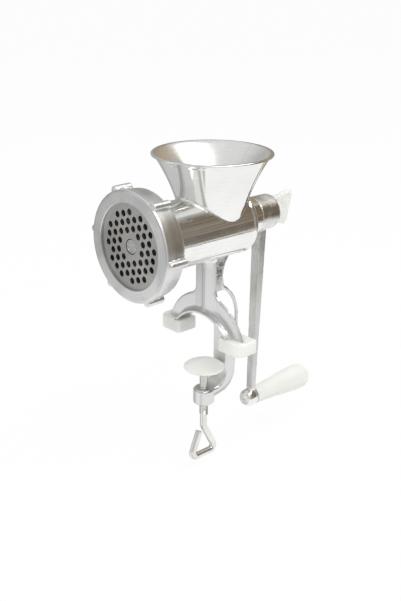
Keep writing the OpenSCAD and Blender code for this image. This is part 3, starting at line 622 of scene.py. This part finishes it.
def bead_form():
    """The bead along the arch, turned only as far as the pads' floors."""
    start = math.asin((PAD_FLOOR + ARCH_DROP) / (ARCH_R + BEAD_LIP_T))
    section = [(ARCH_R, -BEAD_FRONT), (ARCH_R + BEAD_LIP_T, -BEAD_FRONT), (ARCH_R + BEAD_T, 0),
        (ARCH_R + BEAD_T, BEAD_BACK), (ARCH_R, BEAD_BACK)]
    out = Vector((math.cos(start), 0, math.sin(start)))
    centre = Vector((0, 0, -ARCH_DROP))
    points = [centre + out * r + AXES["Y"] * t for r, t in section]
    obj = drawn("bead_form", points + points[:1])
    bpy.ops.mesh.select_all(action="SELECT")
    bpy.ops.mesh.remove_doubles(threshold=0.002 * MM)
    bpy.ops.mesh.edge_face_add()
    bpy.ops.mesh.spin(steps=96, angle=math.pi - 2 * start, center=centre * MM, axis=AXES["Y"])
    return close(obj)


def clamp_arm_forms():
    flange_y = DISC_HIGH.x + 0.5
    arch_top = ARCH_R - ARCH_DROP
    boss_foot = ARM_LOW.z
    boss_top = boss_foot + BOSS_H
    bend = 12
    flange_t = 3
    rim_d = 2.8
    waist_at = (flange_y + 25.1, AXIS_Z - 44, 23)
    belly_at = (flange_y - 15.6, arch_top - 12, 35.8)
    heel_at = (flange_y - 0.9, boss_top + 7.3, 18.6)
    waist = arc(*waist_at, 119, 201, 26)
    belly = arc(*belly_at, 50, 0, 20)
    heel = arc(*heel_at, 0, -72, 16)
    waist_in = arc(*waist_at[:2], waist_at[2] + rim_d, 119, 204, 26)
    belly_in = arc(*belly_at[:2], belly_at[2] - rim_d, 46, 0, 20)
    heel_in = arc(*heel_at[:2], heel_at[2] - rim_d, 0, -72, 16)
    foot = (BOSS_R - 1, boss_foot + 0.8)
    inside = heel_in[::-1] + belly_in[::-1] + waist_in[::-1]
    rim = slab_x("rim_form", waist + belly + heel + [foot, (foot[0], foot[1] + rim_d)] + inside, 3.2)
    window_top = AXIS_Z - 44 - 12
    web = slab_x("upper_web_form", [(LEG_T - 1, AXIS_Z - 12)] + waist + [(belly[0][0], window_top), (LEG_T - 1, window_top)], 2.4)
    bend_y = flange_y - bend
    bend_z = boss_top + bend
    lower = slab_x("lower_web_form", [(flange_y, 2), (heel_at[0] + heel_at[2], 2)] + heel
        + [foot, (foot[0], boss_top - 1)] + arc(bend_y, bend_z, bend + 1, -90, 0), 2.4)
    flange = slab_x("flange_form", [(BEAD_BACK - 1, arch_top + 1), (flange_y, arch_top - 5)]
        + arc(bend_y, bend_z, bend, 0, -90, 12) + [(0, boss_top), (0, boss_top - flange_t)]
        + arc(bend_y, bend_z, bend + flange_t, -90, 0, 12)
        + [(flange_y + flange_t, arch_top - 3.5), (BEAD_BACK - 1, arch_top + BEAD_T + 0.4)], 16)
    boss = turned("boss_form", [(0, 0)] + arc(BOSS_R - 1.5, 1.5, 1.5, -90, 0, 4)
        + arc(BOSS_R - 0.8, BOSS_H - 0.8, 0.8, 0, 90, 4) + [(0, BOSS_H)], (0, 0, boss_foot), "Z", SMALL)
    return [softened(rim, 0.7), web, lower, softened(flange, 0.7), boss]


def bore_tool():
    recess = PLATE_HIGH.x + 0.06
    plate_back = PLATE_HIGH.y
    chamber_back = plate_back + 0.2 + 6 + 2
    back = BARREL_BACK - BACK_WALL
    profile = [(0, HEAD_FRONT - 1), (recess, HEAD_FRONT - 1), (recess, plate_back + 0.3), (CHAMBER_R, plate_back + 0.3),
        (CHAMBER_R, chamber_back), (BORE_R, chamber_back + (CHAMBER_R - BORE_R) / 2), (BORE_R, back),
        (JOURNAL_BORE, back), (JOURNAL_BORE, NECK_BACK + 1), (0, NECK_BACK + 1)]
    return turned("bore_tool", profile, (0, 0, AXIS_Z))


def funnel_tool():
    steps = 20
    heights = [BORE_R + (HOPPER_H - 0.8 - BORE_R) * i / steps for i in range(steps + 1)]
    top = RIM_R - HOPPER_WALL + 0.6
    profile = [(0, 0), (THROAT_R, 0)] + [(inner_r(h), h) for h in heights] + [(top, HOPPER_H), (top, HOPPER_H + 2),
        (0, HOPPER_H + 2)]
    return turned("funnel_tool", profile, (0, HOPPER_Y, AXIS_Z), "Z")


def casting():
    parts = [barrel_form(), funnel_form(), *leg_forms(), *clamp_arm_forms()]
    obj = fused("casting", parts, 0.8, 12, 0.35)
    crease_h = HOPPER_H - FLARE_H
    cut(obj, bar("top_tool", 60, AXIS_Z + crease_h + 0.6, AXIS_Z + HOPPER_H + 9, (0, HOPPER_Y, 0), "Z"))
    united(obj, rim_form())
    obj.name = obj.data.name = "casting"
    screw_tool = bar("screw_tool", SCREW_R + 0.06, ARM_LOW.z - 1, ARM_LOW.z + BOSS_H + 1, along="Z")
    cut(obj, bore_tool(), funnel_tool(), screw_tool)
    return finished(obj, CAST, "cast_aluminium", "casting_hopper", "casting_head", "casting_barrel", "casting_leg",
        "casting_clamp_arm")


# Front end

def ring_nut():
    front, back = RING_LOW.y, RING_HIGH.y
    ring_r, taper, rib_r, rib_out = 41.5, 1.5, 3, 3.4
    profile = [(0, front)] + arc(ring_r - 1.8, front + 1.8, 1.8, -90, 0, 6)
    profile += [(ring_r - taper, back - 0.6), (ring_r - taper - 0.6, back), (0, back)]
    parts = [turned("ring_form", profile, (0, 0, AXIS_Z))]
    rib_front = front + 1
    for i in range(6):
        angle = math.radians(-6 + i * 60)
        at = (math.cos(angle) * (ring_r + rib_out - rib_r), 0, AXIS_Z + math.sin(angle) * (ring_r + rib_out - rib_r))
        rib = [(0, rib_front)] + arc(rib_r - 2, rib_front + 2, 2, -90, 0, 8) + [(rib_r, back - 0.4), (0, back - 0.4)]
        parts.append(turned("rib_form", rib, at, steps=40))
    obj = fused("ring_nut_cast", parts, 0.55, 5, 0.2)
    opening = [(0, front - 1), (33.4, front - 1), (32.4, front), (32, front + 0.4), (32, front + 3), (0, front + 3)]
    pocket = [(0, front + 2), (HEAD_R + 0.06, front + 2), (HEAD_R + 0.06, back + 1), (0, back + 1)]
    cut(obj, turned("opening_tool", opening, (0, 0, AXIS_Z)), turned("pocket_tool", pocket, (0, 0, AXIS_Z)))
    return finished(obj, RING, "ring_aluminium", "ring_nut")


def hole_places():
    """The middles of the holes: a triangular grid, turned, without its middle seven."""
    pitch, turn, reach = 7.07, math.radians(18.2), 4
    places = []
    for i in range(-reach, reach + 1):
        for j in range(-reach, reach + 1):
            at = Vector((i + j / 2, j * math.sqrt(3) / 2))
            if 1.5 < at.length < 3.7:
                x, z = at.x * pitch, -at.y * pitch
                places.append((x * math.cos(turn) - z * math.sin(turn), x * math.sin(turn) + z * math.cos(turn)))
    return places


def hole_plate():
    front, back, r = PLATE_LOW.y, PLATE_HIGH.y, PLATE_HIGH.x
    profile = [(0, front), (r - 0.4, front), (r, front + 0.4), (r, back - 0.4), (r - 0.4, back), (0, back)]
    obj = turned("plate_disc", profile, (0, 0, AXIS_Z))

    def drill(name, hole_r, x, z, steps, edge=0.25):
        tool = [(0, front - 0.5), (hole_r + edge + 0.5, front - 0.5), (hole_r, front + edge), (hole_r, back - edge),
            (hole_r + edge + 0.5, back + 0.5), (0, back + 0.5)]
        return turned(name, tool, (x, 0, AXIS_Z + z), steps=steps)

    one = drill("drill", 2.35, 0, 0, 32)
    drills = []
    for x, z in hole_places():
        copy = one.copy()
        copy.data = one.data.copy()
        bpy.context.scene.collection.objects.link(copy)
        copy.data.transform(Matrix.Translation(Vector((x, 0, z)) * MM))
        drills.append(copy)
    drop(one)
    cut(obj, joined("drills", drills), drill("bore_drill", 5.7, 0, 0, 64, 0.35), drill("notch_drill", 1.65, 0, r, 24))
    return finished(obj, PLATE_STEEL, "plate_steel", "hole_plate", angle=25)


def knife_stud():
    low, high = corners("knife_stud")
    front = low.y
    square_front = PLATE_HIGH.y + 0.2
    square_back = square_front + 6
    dish = [(0, front + 0.9), (0.9, front + 0.6), (1.2, front + 0.35), (1.9, front + 0.35), (2.1, front + 0.1),
        (3.3, front + 0.1), (3.5, front + 0.4), (4.0, front + 0.4), (4.2, front)]
    profile = dish + [(4.7, front)] + arc(5.25 - 0.5, front + 0.5, 0.5, -80, 0, 4) + [(5.25, square_front + 0.1), (0, square_front + 0.1)]
    obj = turned("stud_pin", profile, (0, 0, AXIS_Z), steps=96)
    half = 9.4 / 2
    square = slab("stud_square", [(x, square_front, AXIS_Z + z) for x, z in ((half, half), (-half, half), (-half, -half), (half, -half))],
        (0, square_back - square_front, 0))
    thread = bar("stud_thread", 5, square_back - 0.1, high.y, (0, 0, AXIS_Z))
    united(obj, square, thread)
    obj.name = obj.data.name = "stud_turned"
    return finished(obj, TOOL_STEEL, "tool_steel", "knife_stud")


# Crank, wing screw and grip

def crank():
    front = corners("worm_shaft")[0].y
    hub_front = NECK_BACK + 0.6
    hub_len, hub_r, hub_round = 20.9, 14, 2.5
    hub = turned("hub_form", [(0, 0), (hub_r - 0.6, 0), (hub_r, 0.6)] + arc(hub_r - hub_round, hub_len - hub_round, hub_round, 0, 90, 8)
        + [(0, hub_len)], (0, hub_front, AXIS_Z))
    arm_top = hub_front + 6.6
    arm_foot = arm_top - 2.9
    arm = slab_x("arm_form", [(arm_top, AXIS_Z), (arm_top + 8.2, AXIS_Z), (arm_foot + 4.4, GRIP_Z), (arm_foot, GRIP_Z)], 9.5)
    take(arm)
    bpy.ops.object.mode_set(mode="EDIT")
    bpy.ops.mesh.select_all(action="DESELECT")
    bpy.ops.object.mode_set(mode="OBJECT")
    for vertex in arm.data.vertices:
        vertex.select = vertex.co.z < (GRIP_Z + 1) * MM
    bpy.ops.object.mode_set(mode="EDIT")
    bpy.ops.transform.resize(value=(7 / 9.5, 1, 1), center_override=Vector((0, arm_foot, GRIP_Z)) * MM)
    idle()
    softened(arm, 1.0)
    eye_back = arm_foot + 4.7
    eye_len, eye_r, eye_flat, eye_depth = 10.4, 7.6, 4.3, 5.4
    ball = [(eye_flat + (eye_r - eye_flat) * math.sin(math.pi * i / 28), eye_depth * (1 - math.cos(math.pi * i / 28))) for i in range(15)]
    ball += [(6.1 + 1.5 * math.cos(math.pi * i / 16), eye_len - 3.2 + 3.2 * math.sin(math.pi * i / 16)) for i in range(9)]
    eye = turned("eye_form", [(0, 0)] + ball + [(0, eye_len)], (0, eye_back - eye_len, GRIP_Z), steps=96)
    obj = fused("crank", [hub, arm, eye], 0.5, 14, 0.3)
    half = (11 + 0.3) / 2
    square = slab("square_tool", [(x, hub_front - 1, AXIS_Z + z) for x, z in ((half, half), (-half, half), (-half, -half), (half, -half))],
        (0, hub_len + 2, 0))
    cut(obj, square, bar("axle_tool", 3, eye_back - eye_len - 1, eye_back + 1, (0, 0, GRIP_Z)))
    return finished(obj, CRANK, "crank_casting", "crank_arm")


def wing():
    root_w, end_w, length, corner, turn = 23, 30, 22.5, 4, math.radians(12)
    front = WING_LOW.y
    flank = length - corner
    edge = [(root_w / 2 + (end_w - root_w) / 2 * (i / 10) ** 2, flank * i / 10) for i in range(11)]
    edge += arc(end_w / 2 - corner, flank, corner, 10, 90, 8)
    outline = edge + [(-x, t) for x, t in reversed(edge)]
    paddle = slab_x("paddle_form", [(front + t, AXIS_Z + x) for x, t in outline], 5)
    boss = turned("wing_boss_form", [(0, 0), (8.2, 0), (8.5, 0.3), (7.2, 7.6), (6.8, 8), (0, 8)], (0, front, AXIS_Z), steps=SMALL)
    paddle.data.transform(Matrix.Translation((0, 0, AXIS_Z * MM)) @ Matrix.Rotation(turn, 4, "Y") @ Matrix.Translation((0, 0, -AXIS_Z * MM)))
    obj = fused("wing", [paddle, boss], 0.5, 6, 0.2)
    cut(obj, bar("stud_tool", 4, front - 1, front + 7, (0, 0, AXIS_Z)))
    return finished(obj, WHITE, "white_plastic", "wing_knob")


def grip():
    front, back = GRIP_LOW.y, GRIP_HIGH.y
    near_r, far_r, length = 7.5, 10.8, 66.5
    flank = length - far_r
    steps = 24
    profile = [(3.1, 0), (near_r - 1, 0)] + arc(near_r - 0.9, 0.9, 0.9, -80, -10, 4)
    profile += [(near_r + (far_r - near_r) * (1 - math.cos(math.pi * i / steps)) / 2, 1 + (flank - 1) * i / steps) for i in range(steps + 1)]
    profile += [(far_r * math.cos(math.radians(a)), flank + far_r * math.sin(math.radians(a))) for a in range(5, 59, 5)]
    recess = length - 7
    end = back - front
    profile += [(5.5, end), (5.15, end - 0.35), (5.15, recess), (3.1, recess), (3.1, 0)]
    obj = turned("grip_turned", profile, (0, front, GRIP_Z), steps=96)
    return finished(obj, WHITE, "white_plastic", "grip")


def axle():
    low, high = corners("grip_axle")
    front, back = low.y, high.y
    eye_front = front + 0.8
    profile = [(0, front + 1.6), (1.1, front + 1.5), (1.25, front + 0.25), (1.9, front), (2.7, front + 0.1), (2.9, front + 0.6),
        (3.2, front + 0.6), (3.4, front + 0.3), (4, front + 0.4), (4, eye_front),
        (3, eye_front), (3, back - 3), (4.7, back - 3), (5, back - 2.7), (5, back - 0.8), (4.2, back), (0, back)]
    obj = turned("axle_turned", profile, (0, 0, GRIP_Z), steps=72)
    return finished(obj, ZINC, "zinc_steel", "grip_axle")


# Feet and clamp

def foot_pad(name, node, side, low, high):
    corner, front_round = 2.5, 8
    inner = low.x if side > 0 else -high.x
    outer = high.x if side > 0 else -low.x
    outline = arc(inner + corner, low.y + corner, corner, 180, 270, 5)
    outline += arc(outer - front_round, low.y + front_round, front_round, 270, 360, 14)
    outline += arc(outer - corner, high.y - corner, corner, 0, 90, 5)
    outline += arc(inner + corner, high.y - corner, corner, 90, 180, 5)
    obj = slab(name, [(side * x, y, 0) for x, y in outline], (0, 0, high.z))
    modify(obj, "BEVEL", width=1.3 * MM, segments=5, limit_method="ANGLE", angle_limit=math.radians(50))
    for part in leg_forms():
        cut(obj, part)
    return finished(obj, WHITE, "white_plastic", node)


def loop_points():
    """The middle of the bent rod in Y and Z: down, out to the back, across, and up again."""
    bend_r = 4
    at, heading = Vector((0, THREAD_FOOT + 0.5)), 0.0
    points = [at.copy()]
    for length, turn in ((8.6, 28.5), (21.4, -118.5), (15.2, -112), (17.8, 0)):
        at = at + Vector((math.sin(heading), -math.cos(heading))) * length
        points.append(at.copy())
        if turn:
            side = math.copysign(bend_r, turn)
            centre = at + Vector((math.cos(heading), math.sin(heading))) * side
            steps = max(4, int(abs(turn) / 8))
            for i in range(1, steps + 1):
                angle = heading + math.radians(turn) * i / steps
                points.append(centre - Vector((math.cos(angle), math.sin(angle))) * side)
            heading += math.radians(turn)
            at = points[-1].copy()
    return points


def bent_rod():
    obj = drawn("bent_rod", [(0, y, z) for y, z in loop_points()])
    idle()
    take(obj)
    bpy.ops.object.convert(target="CURVE")
    obj = bpy.context.object
    obj.data.bevel_depth = ROD_R * MM
    obj.data.bevel_resolution = 10
    obj.data.use_fill_caps = True
    take(obj)
    bpy.ops.object.convert(target="MESH")
    obj = bpy.context.object
    bpy.ops.object.mode_set(mode="EDIT")
    return close(obj)


def thread(name, crest, root, pitch, foot, top):
    """A screw thread: one pitch of its profile, carried round and up by the Screw modifier, over a core."""
    turns = int((top - foot) / pitch)
    flat = pitch / 8
    line = [(root, 0), (root, flat), (crest, pitch / 2 - flat / 2), (crest, pitch / 2 + flat / 2), (root, pitch - 0.0)]
    obj = drawn(name, [(r, 0, foot + z) for r, z in line])
    idle()
    modify(obj, "SCREW", angle=2 * math.pi, screw_offset=pitch * MM, iterations=turns - 1, steps=28, render_steps=28,
        axis="Z", use_merge_vertices=True, merge_threshold=0.002 * MM)
    take(obj)
    bpy.ops.object.mode_set(mode="EDIT")
    return close(obj)


def clamp_screw():
    ridges = thread("thread_form", SCREW_R, SCREW_R - 0.6, 1.5, THREAD_FOOT + 1.2, THREAD_TOP - 0.2)
    core = turned("core_form", [(0, THREAD_FOOT), (ROD_R, THREAD_FOOT), (SCREW_R - 0.58, THREAD_FOOT + 1), (SCREW_R - 0.58, THREAD_TOP),
        (2.6, THREAD_TOP), (2.6, SCREW_HIGH.z - 1.6), (4.1, SCREW_HIGH.z - 1.6), (4.1, SCREW_HIGH.z - 0.8), (3.3, SCREW_HIGH.z),
        (0, SCREW_HIGH.z)], along="Z", steps=SMALL)
    obj = joined("screw_turned", [core, ridges, bent_rod()])
    return finished(obj, ZINC, "zinc_steel", "clamp_screw")


def disc():
    low, high = DISC_LOW, DISC_HIGH
    r, h, rounding = high.x, high.z - low.z, 2.5
    dome = h - rounding
    crown = (r * r + dome * dome) / (2 * dome)
    angle = math.asin(r / crown)
    profile = [(5.6, h - 1.8), (5.6, 2), (11, 2), (11, 0.2), (11.2, 0)] + arc(r - rounding, rounding, rounding, -90, -4, 10)
    profile += [(crown * math.sin(angle * (1 - i / 24)), h - crown + crown * math.cos(angle * (1 - i / 24))) for i in range(1, 25)]
    obj = turned("disc_moulded", [(0, h - 1.8)] + profile, (0, 0, low.z), "Z", 128)
    return finished(obj, WHITE, "white_plastic", "clamp_disc")


for maker in (casting, ring_nut, hole_plate, knife_stud, crank, wing, grip, axle, clamp_screw, disc):
    maker()
foot_pad("left_pad", "left_foot_pad", -1, LEFT_PAD_LOW, LEFT_PAD_HIGH)
foot_pad("right_pad", "right_foot_pad", 1, RIGHT_PAD_LOW, RIGHT_PAD_HIGH)

for node, material in {"plate_pin": TOOL_STEEL, "knife": TOOL_STEEL, "worm": WORM_CAST, "worm_shaft": TOOL_STEEL,
        "thrust_washer": NYLON, "wing_stud": ZINC, "axle_washer": ZINC, "disc_washer": ZINC}.items():
    place(node, material)


# Studio

def link(tree, kind, *inputs, output=0, **settings):
    """A node with its settings, and its sockets linked or set in order."""
    made = tree.nodes.new(kind)
    for key, value in settings.items():
        setattr(made, key, value)
    for socket, value in zip(made.inputs, inputs):
        if isinstance(value, bpy.types.NodeSocket):
            tree.links.new(value, socket)
        elif value is not None:
            socket.default_value = value
    return made.outputs[output]


def unlit_share(tree):
    """1 for rays from the camera and for mirrored or refracted ones, 0 for the rest."""
    path = tree.nodes.new("ShaderNodeLightPath").outputs
    either = link(tree, "ShaderNodeMath", path["Is Camera Ray"], path["Is Glossy Ray"], operation="MAXIMUM")
    return link(tree, "ShaderNodeMath", either, path["Is Transmission Ray"], operation="MAXIMUM")


def plain_material(name):
    material = bpy.data.materials.new(name)
    material.use_nodes = True
    material.node_tree.nodes.clear()
    return material, material.node_tree


def show(tree, shader):
    tree.links.new(shader, tree.nodes.new("ShaderNodeOutputMaterial").inputs["Surface"])


def floor():
    """White to the camera and in the metal, with a trace of the object's soft shadow. It lies low enough for the
    clamp screw to sink."""
    idle()
    floor_z = cad_corners[0].z - (SCREW_DROP + 0.5) * MM
    bpy.ops.mesh.primitive_circle_add(vertices=96, radius=9, fill_type="NGON", location=(0, 0, floor_z))
    obj = bpy.context.object
    obj.name = "studio_floor"
    material, tree = plain_material("studio_floor")
    share = link(tree, "ShaderNodeMath", unlit_share(tree), 0.94, operation="MULTIPLY")
    lit = link(tree, "ShaderNodeBsdfDiffuse", (0.85, 0.85, 0.85, 1))
    # the metal sees the floor greyer on the left and in one narrow band near the front
    parts = tree.nodes.new("ShaderNodeSeparateXYZ")
    tree.links.new(tree.nodes.new("ShaderNodeTexCoord").outputs["Object"], parts.inputs[0])
    x, y = parts.outputs["X"], parts.outputs["Y"]
    near_tone = turn_ramp(tree, x, y, FLOOR_TONES)
    radius = link(tree, "ShaderNodeVectorMath", parts.inputs[0].links[0].from_socket, operation="LENGTH", output=1)
    near = link(tree, "ShaderNodeMapRange", radius, 0.17, 0.24, 1.0, 0.0)
    left = link(tree, "ShaderNodeMapRange", x, -0.20, -0.12, 0.56, 1.0)
    ahead = link(tree, "ShaderNodeMapRange", y, -0.16, -0.11, 1.0, 0.0)
    far_tone = link(tree, "ShaderNodeMath", left, ahead, operation="MAXIMUM")
    both = tree.nodes.new("ShaderNodeMix")
    tree.links.new(near, both.inputs[0])
    tree.links.new(far_tone, both.inputs[2])
    tree.links.new(near_tone, both.inputs[3])
    grey = both.outputs[0]
    camera_ray = tree.nodes.new("ShaderNodeLightPath").outputs["Is Camera Ray"]
    strength = link(tree, "ShaderNodeMath", grey, camera_ray, operation="MAXIMUM")
    white = link(tree, "ShaderNodeEmission", (1, 1, 1, 1), strength)
    show(tree, link(tree, "ShaderNodeMixShader", share, lit, white))
    obj.data.materials.append(material)
    obj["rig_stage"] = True


WALL_TONES = [(-180, (0.42, 0.42, 0.415)), (-150, (0.42, 0.42, 0.415)), (-138, (0.42, 0.42, 0.415)), (-126, (0.95, 0.95, 0.94)),
    (-108, (0.60, 0.60, 0.59)), (-60, (0.55, 0.55, 0.54)), (-10, (0.52, 0.52, 0.51)),
    (0, (0.40, 0.39, 0.37)), (16, (0.25, 0.23, 0.20)), (36, (0.20, 0.175, 0.145)), (64, (0.18, 0.135, 0.088)),
    (79, (0.42, 0.37, 0.31)), (108, (0.36, 0.27, 0.19)), (133, (0.30, 0.28, 0.25)), (150, (0.46, 0.46, 0.45)), (180, (0.42, 0.42, 0.415))]
# what the metal sees of the floor close by, by azimuth
FLOOR_TONES = [(-180, 0.56), (-150, 0.60), (-138, 0.80), (-120, 1.0), (-80, 1.0), (-75, 0.45), (-69, 0.45), (-65, 1.0), (120, 1.0),
    (160, 0.56), (180, 0.56)]


def turn_ramp(tree, x, y, tones):
    """A ramp of tones by azimuth, from -180 to 180 degrees."""
    turn = link(tree, "ShaderNodeMath", y, x, operation="ARCTAN2")
    turn = link(tree, "ShaderNodeMath", turn, 1 / (2 * math.pi), 0.5, operation="MULTIPLY_ADD")
    ramp = tree.nodes.new("ShaderNodeValToRGB")
    elements = ramp.color_ramp.elements
    while len(elements) < len(tones):
        elements.new(0.5)
    for element, (azimuth, tone) in zip(elements, tones):
        element.position = 0.5 + azimuth / 360
        element.color = (*tone, 1) if isinstance(tone, tuple) else (tone, tone, tone, 1)
    tree.links.new(turn, ramp.inputs[0])
    return ramp.outputs["Color"]


def wall():
    """A round wall that only the metal mirrors: dark brown behind on the right, greys elsewhere, in soft layers."""
    idle()
    foot = cad_corners[0].z + 0.001
    top = 0.53
    bpy.ops.mesh.primitive_cylinder_add(vertices=96, radius=0.45, depth=top - foot, end_fill_type="NOTHING",
        location=(0, 0, (top + foot) / 2))
    obj = bpy.context.object
    obj.name = "studio_wall"
    bpy.ops.object.transform_apply(location=True)
    material, tree = plain_material("studio_wall")
    place_at = tree.nodes.new("ShaderNodeTexCoord").outputs["Object"]
    parts = tree.nodes.new("ShaderNodeSeparateXYZ")
    tree.links.new(place_at, parts.inputs[0])
    tone = turn_ramp(tree, parts.outputs["X"], parts.outputs["Y"], WALL_TONES)
    # the layers show on the dark side only
    dark_side = turn_ramp(tree, parts.outputs["X"], parts.outputs["Y"], [(-180, 0), (-10, 0), (20, 1), (120, 1), (145, 0), (180, 0)])
    stretched = link(tree, "ShaderNodeMapping", place_at)
    stretched.node.inputs["Scale"].default_value = (0.6, 0.6, 6)
    layers = link(tree, "ShaderNodeTexNoise", stretched)
    layers.node.inputs["Scale"].default_value = 9
    layers.node.inputs["Detail"].default_value = 5
    layers = link(tree, "ShaderNodeMapRange", layers, 0.3, 0.7, -0.45, 0.6)
    strength = link(tree, "ShaderNodeMath", layers, dark_side, 1.0, operation="MULTIPLY_ADD")
    # a tall window at the front right, and a lighter top on the left
    ahead = turn_ramp(tree, parts.outputs["X"], parts.outputs["Y"], [(-180, 0), (-62, 0), (-48, 0.7), (-22, 0.7), (-14, 0), (180, 0)])
    high = link(tree, "ShaderNodeMapRange", parts.outputs["Z"], 0.09, 0.16, 0.0, 1.0)
    strength = link(tree, "ShaderNodeMath", ahead, high, strength, operation="MULTIPLY_ADD")
    left = turn_ramp(tree, parts.outputs["X"], parts.outputs["Y"], [(-180, 0.6), (-150, 0.6), (-135, 0), (150, 0), (175, 0.6), (180, 0.6)])
    high = link(tree, "ShaderNodeMapRange", parts.outputs["Z"], 0.3, 0.48, 0.0, 1.0)
    strength = link(tree, "ShaderNodeMath", left, high, strength, operation="MULTIPLY_ADD")
    # a dark line and a light strip along the foot of the dark side
    height = link(tree, "ShaderNodeMapRange", parts.outputs["Z"], foot, foot + 0.1, 0.0, 1.0)
    strip = tree.nodes.new("ShaderNodeValToRGB")
    strip.color_ramp.interpolation = "CONSTANT"
    strip.color_ramp.elements[0].color = (0.06, 0.06, 0.06, 1)
    for position, colour in ((0.17, (0.8, 0.79, 0.76)), (0.42, (0.0, 0.0, 0.0))):
        strip.color_ramp.elements.new(position).color = (*colour, 1)
    strip.color_ramp.elements[-1].color = (0, 0, 0, 1)
    tree.links.new(height, strip.inputs[0])
    low = link(tree, "ShaderNodeMath", height, 0.42, operation="LESS_THAN")
    low = link(tree, "ShaderNodeMath", low, dark_side, operation="MULTIPLY")
    mix = tree.nodes.new("ShaderNodeMixShader")
    tree.links.new(low, mix.inputs[0])
    tree.links.new(link(tree, "ShaderNodeEmission", tone, strength), mix.inputs[1])
    tree.links.new(link(tree, "ShaderNodeEmission", strip.outputs["Color"], 1.0), mix.inputs[2])
    show(tree, mix.outputs[0])
    obj.data.materials.append(material)
    obj.visible_camera = False
    obj.visible_diffuse = False
    obj.visible_shadow = False
    obj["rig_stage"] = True


def lamp(name, azimuth, elevation, distance, width, height, power, mirrored=False):
    """A soft box that faces the object, at an azimuth from +X towards +Y."""
    a, e = math.radians(azimuth), math.radians(elevation)
    target = Vector((0, 0, 0.1))
    out = Vector((math.cos(a) * math.cos(e), math.sin(a) * math.cos(e), math.sin(e)))
    light = bpy.data.lights.new(name, "AREA")
    light.shape = "RECTANGLE"
    light.size, light.size_y = width, height
    light.energy = power
    obj = bpy.data.objects.new(name, light)
    bpy.context.scene.collection.objects.link(obj)
    obj.location = target + out * distance
    obj.rotation_mode = "QUATERNION"
    obj.rotation_quaternion = out.to_track_quat("Z", "Y")
    obj.visible_glossy = mirrored


def world():
    made = bpy.data.worlds.new("studio")
    bpy.context.scene.world = made
    made.use_nodes = True
    tree = made.node_tree
    background = tree.nodes["Background"]
    path = tree.nodes.new("ShaderNodeLightPath").outputs
    mirrored = link(tree, "ShaderNodeMath", path["Is Camera Ray"], 1.0, operation="MULTIPLY")
    background.inputs["Color"].default_value = (1, 1, 1, 1)
    tree.links.new(link(tree, "ShaderNodeMapRange", mirrored, 0.0, 1.0, 0.72, 1.0), background.inputs["Strength"])


def camera():
    """The photograph's viewpoint, for a frame of 401 by 601 pixels."""
    azimuth, elevation, roll = math.radians(46.444), math.radians(21.042), math.radians(0.524)
    focal_px, frame_h, sensor = 960.464, 601, 24
    right = Vector((math.cos(azimuth), math.sin(azimuth), 0))
    up = Vector((-math.sin(elevation) * math.sin(azimuth), math.sin(elevation) * math.cos(azimuth), math.cos(elevation)))
    back = right.cross(up)
    across = right * math.cos(roll) + up * math.sin(roll)
    upward = up * math.cos(roll) - right * math.sin(roll)
    data = bpy.data.cameras.new("camera")
    data.sensor_fit = "AUTO"
    data.sensor_width = sensor
    data.lens = focal_px / frame_h * sensor
    data.clip_start, data.clip_end = 0.01, 50
    obj = bpy.data.objects.new("camera", data)
    bpy.context.scene.collection.objects.link(obj)
    rotation = Matrix((across, upward, back)).transposed().to_4x4()
    obj.matrix_world = Matrix.Translation((0.506823, -0.486575, 0.304276)) @ rotation
    bpy.context.scene.camera = obj


floor()
wall()
lamp("key", 12, 57, 0.95, 1.15, 0.42, 4.6, mirrored=True)
lamp("front", -75, 45, 1.6, 1.0, 0.6, 6)
lamp("back", 150, 50, 1.6, 1.0, 0.6, 4)
world()
camera()
bpy.context.scene.view_settings.view_transform = "Standard"

for obj in bpy.data.objects:
    if obj.type == "MESH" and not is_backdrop(obj):
        print(obj.name, len(obj.data.polygons))
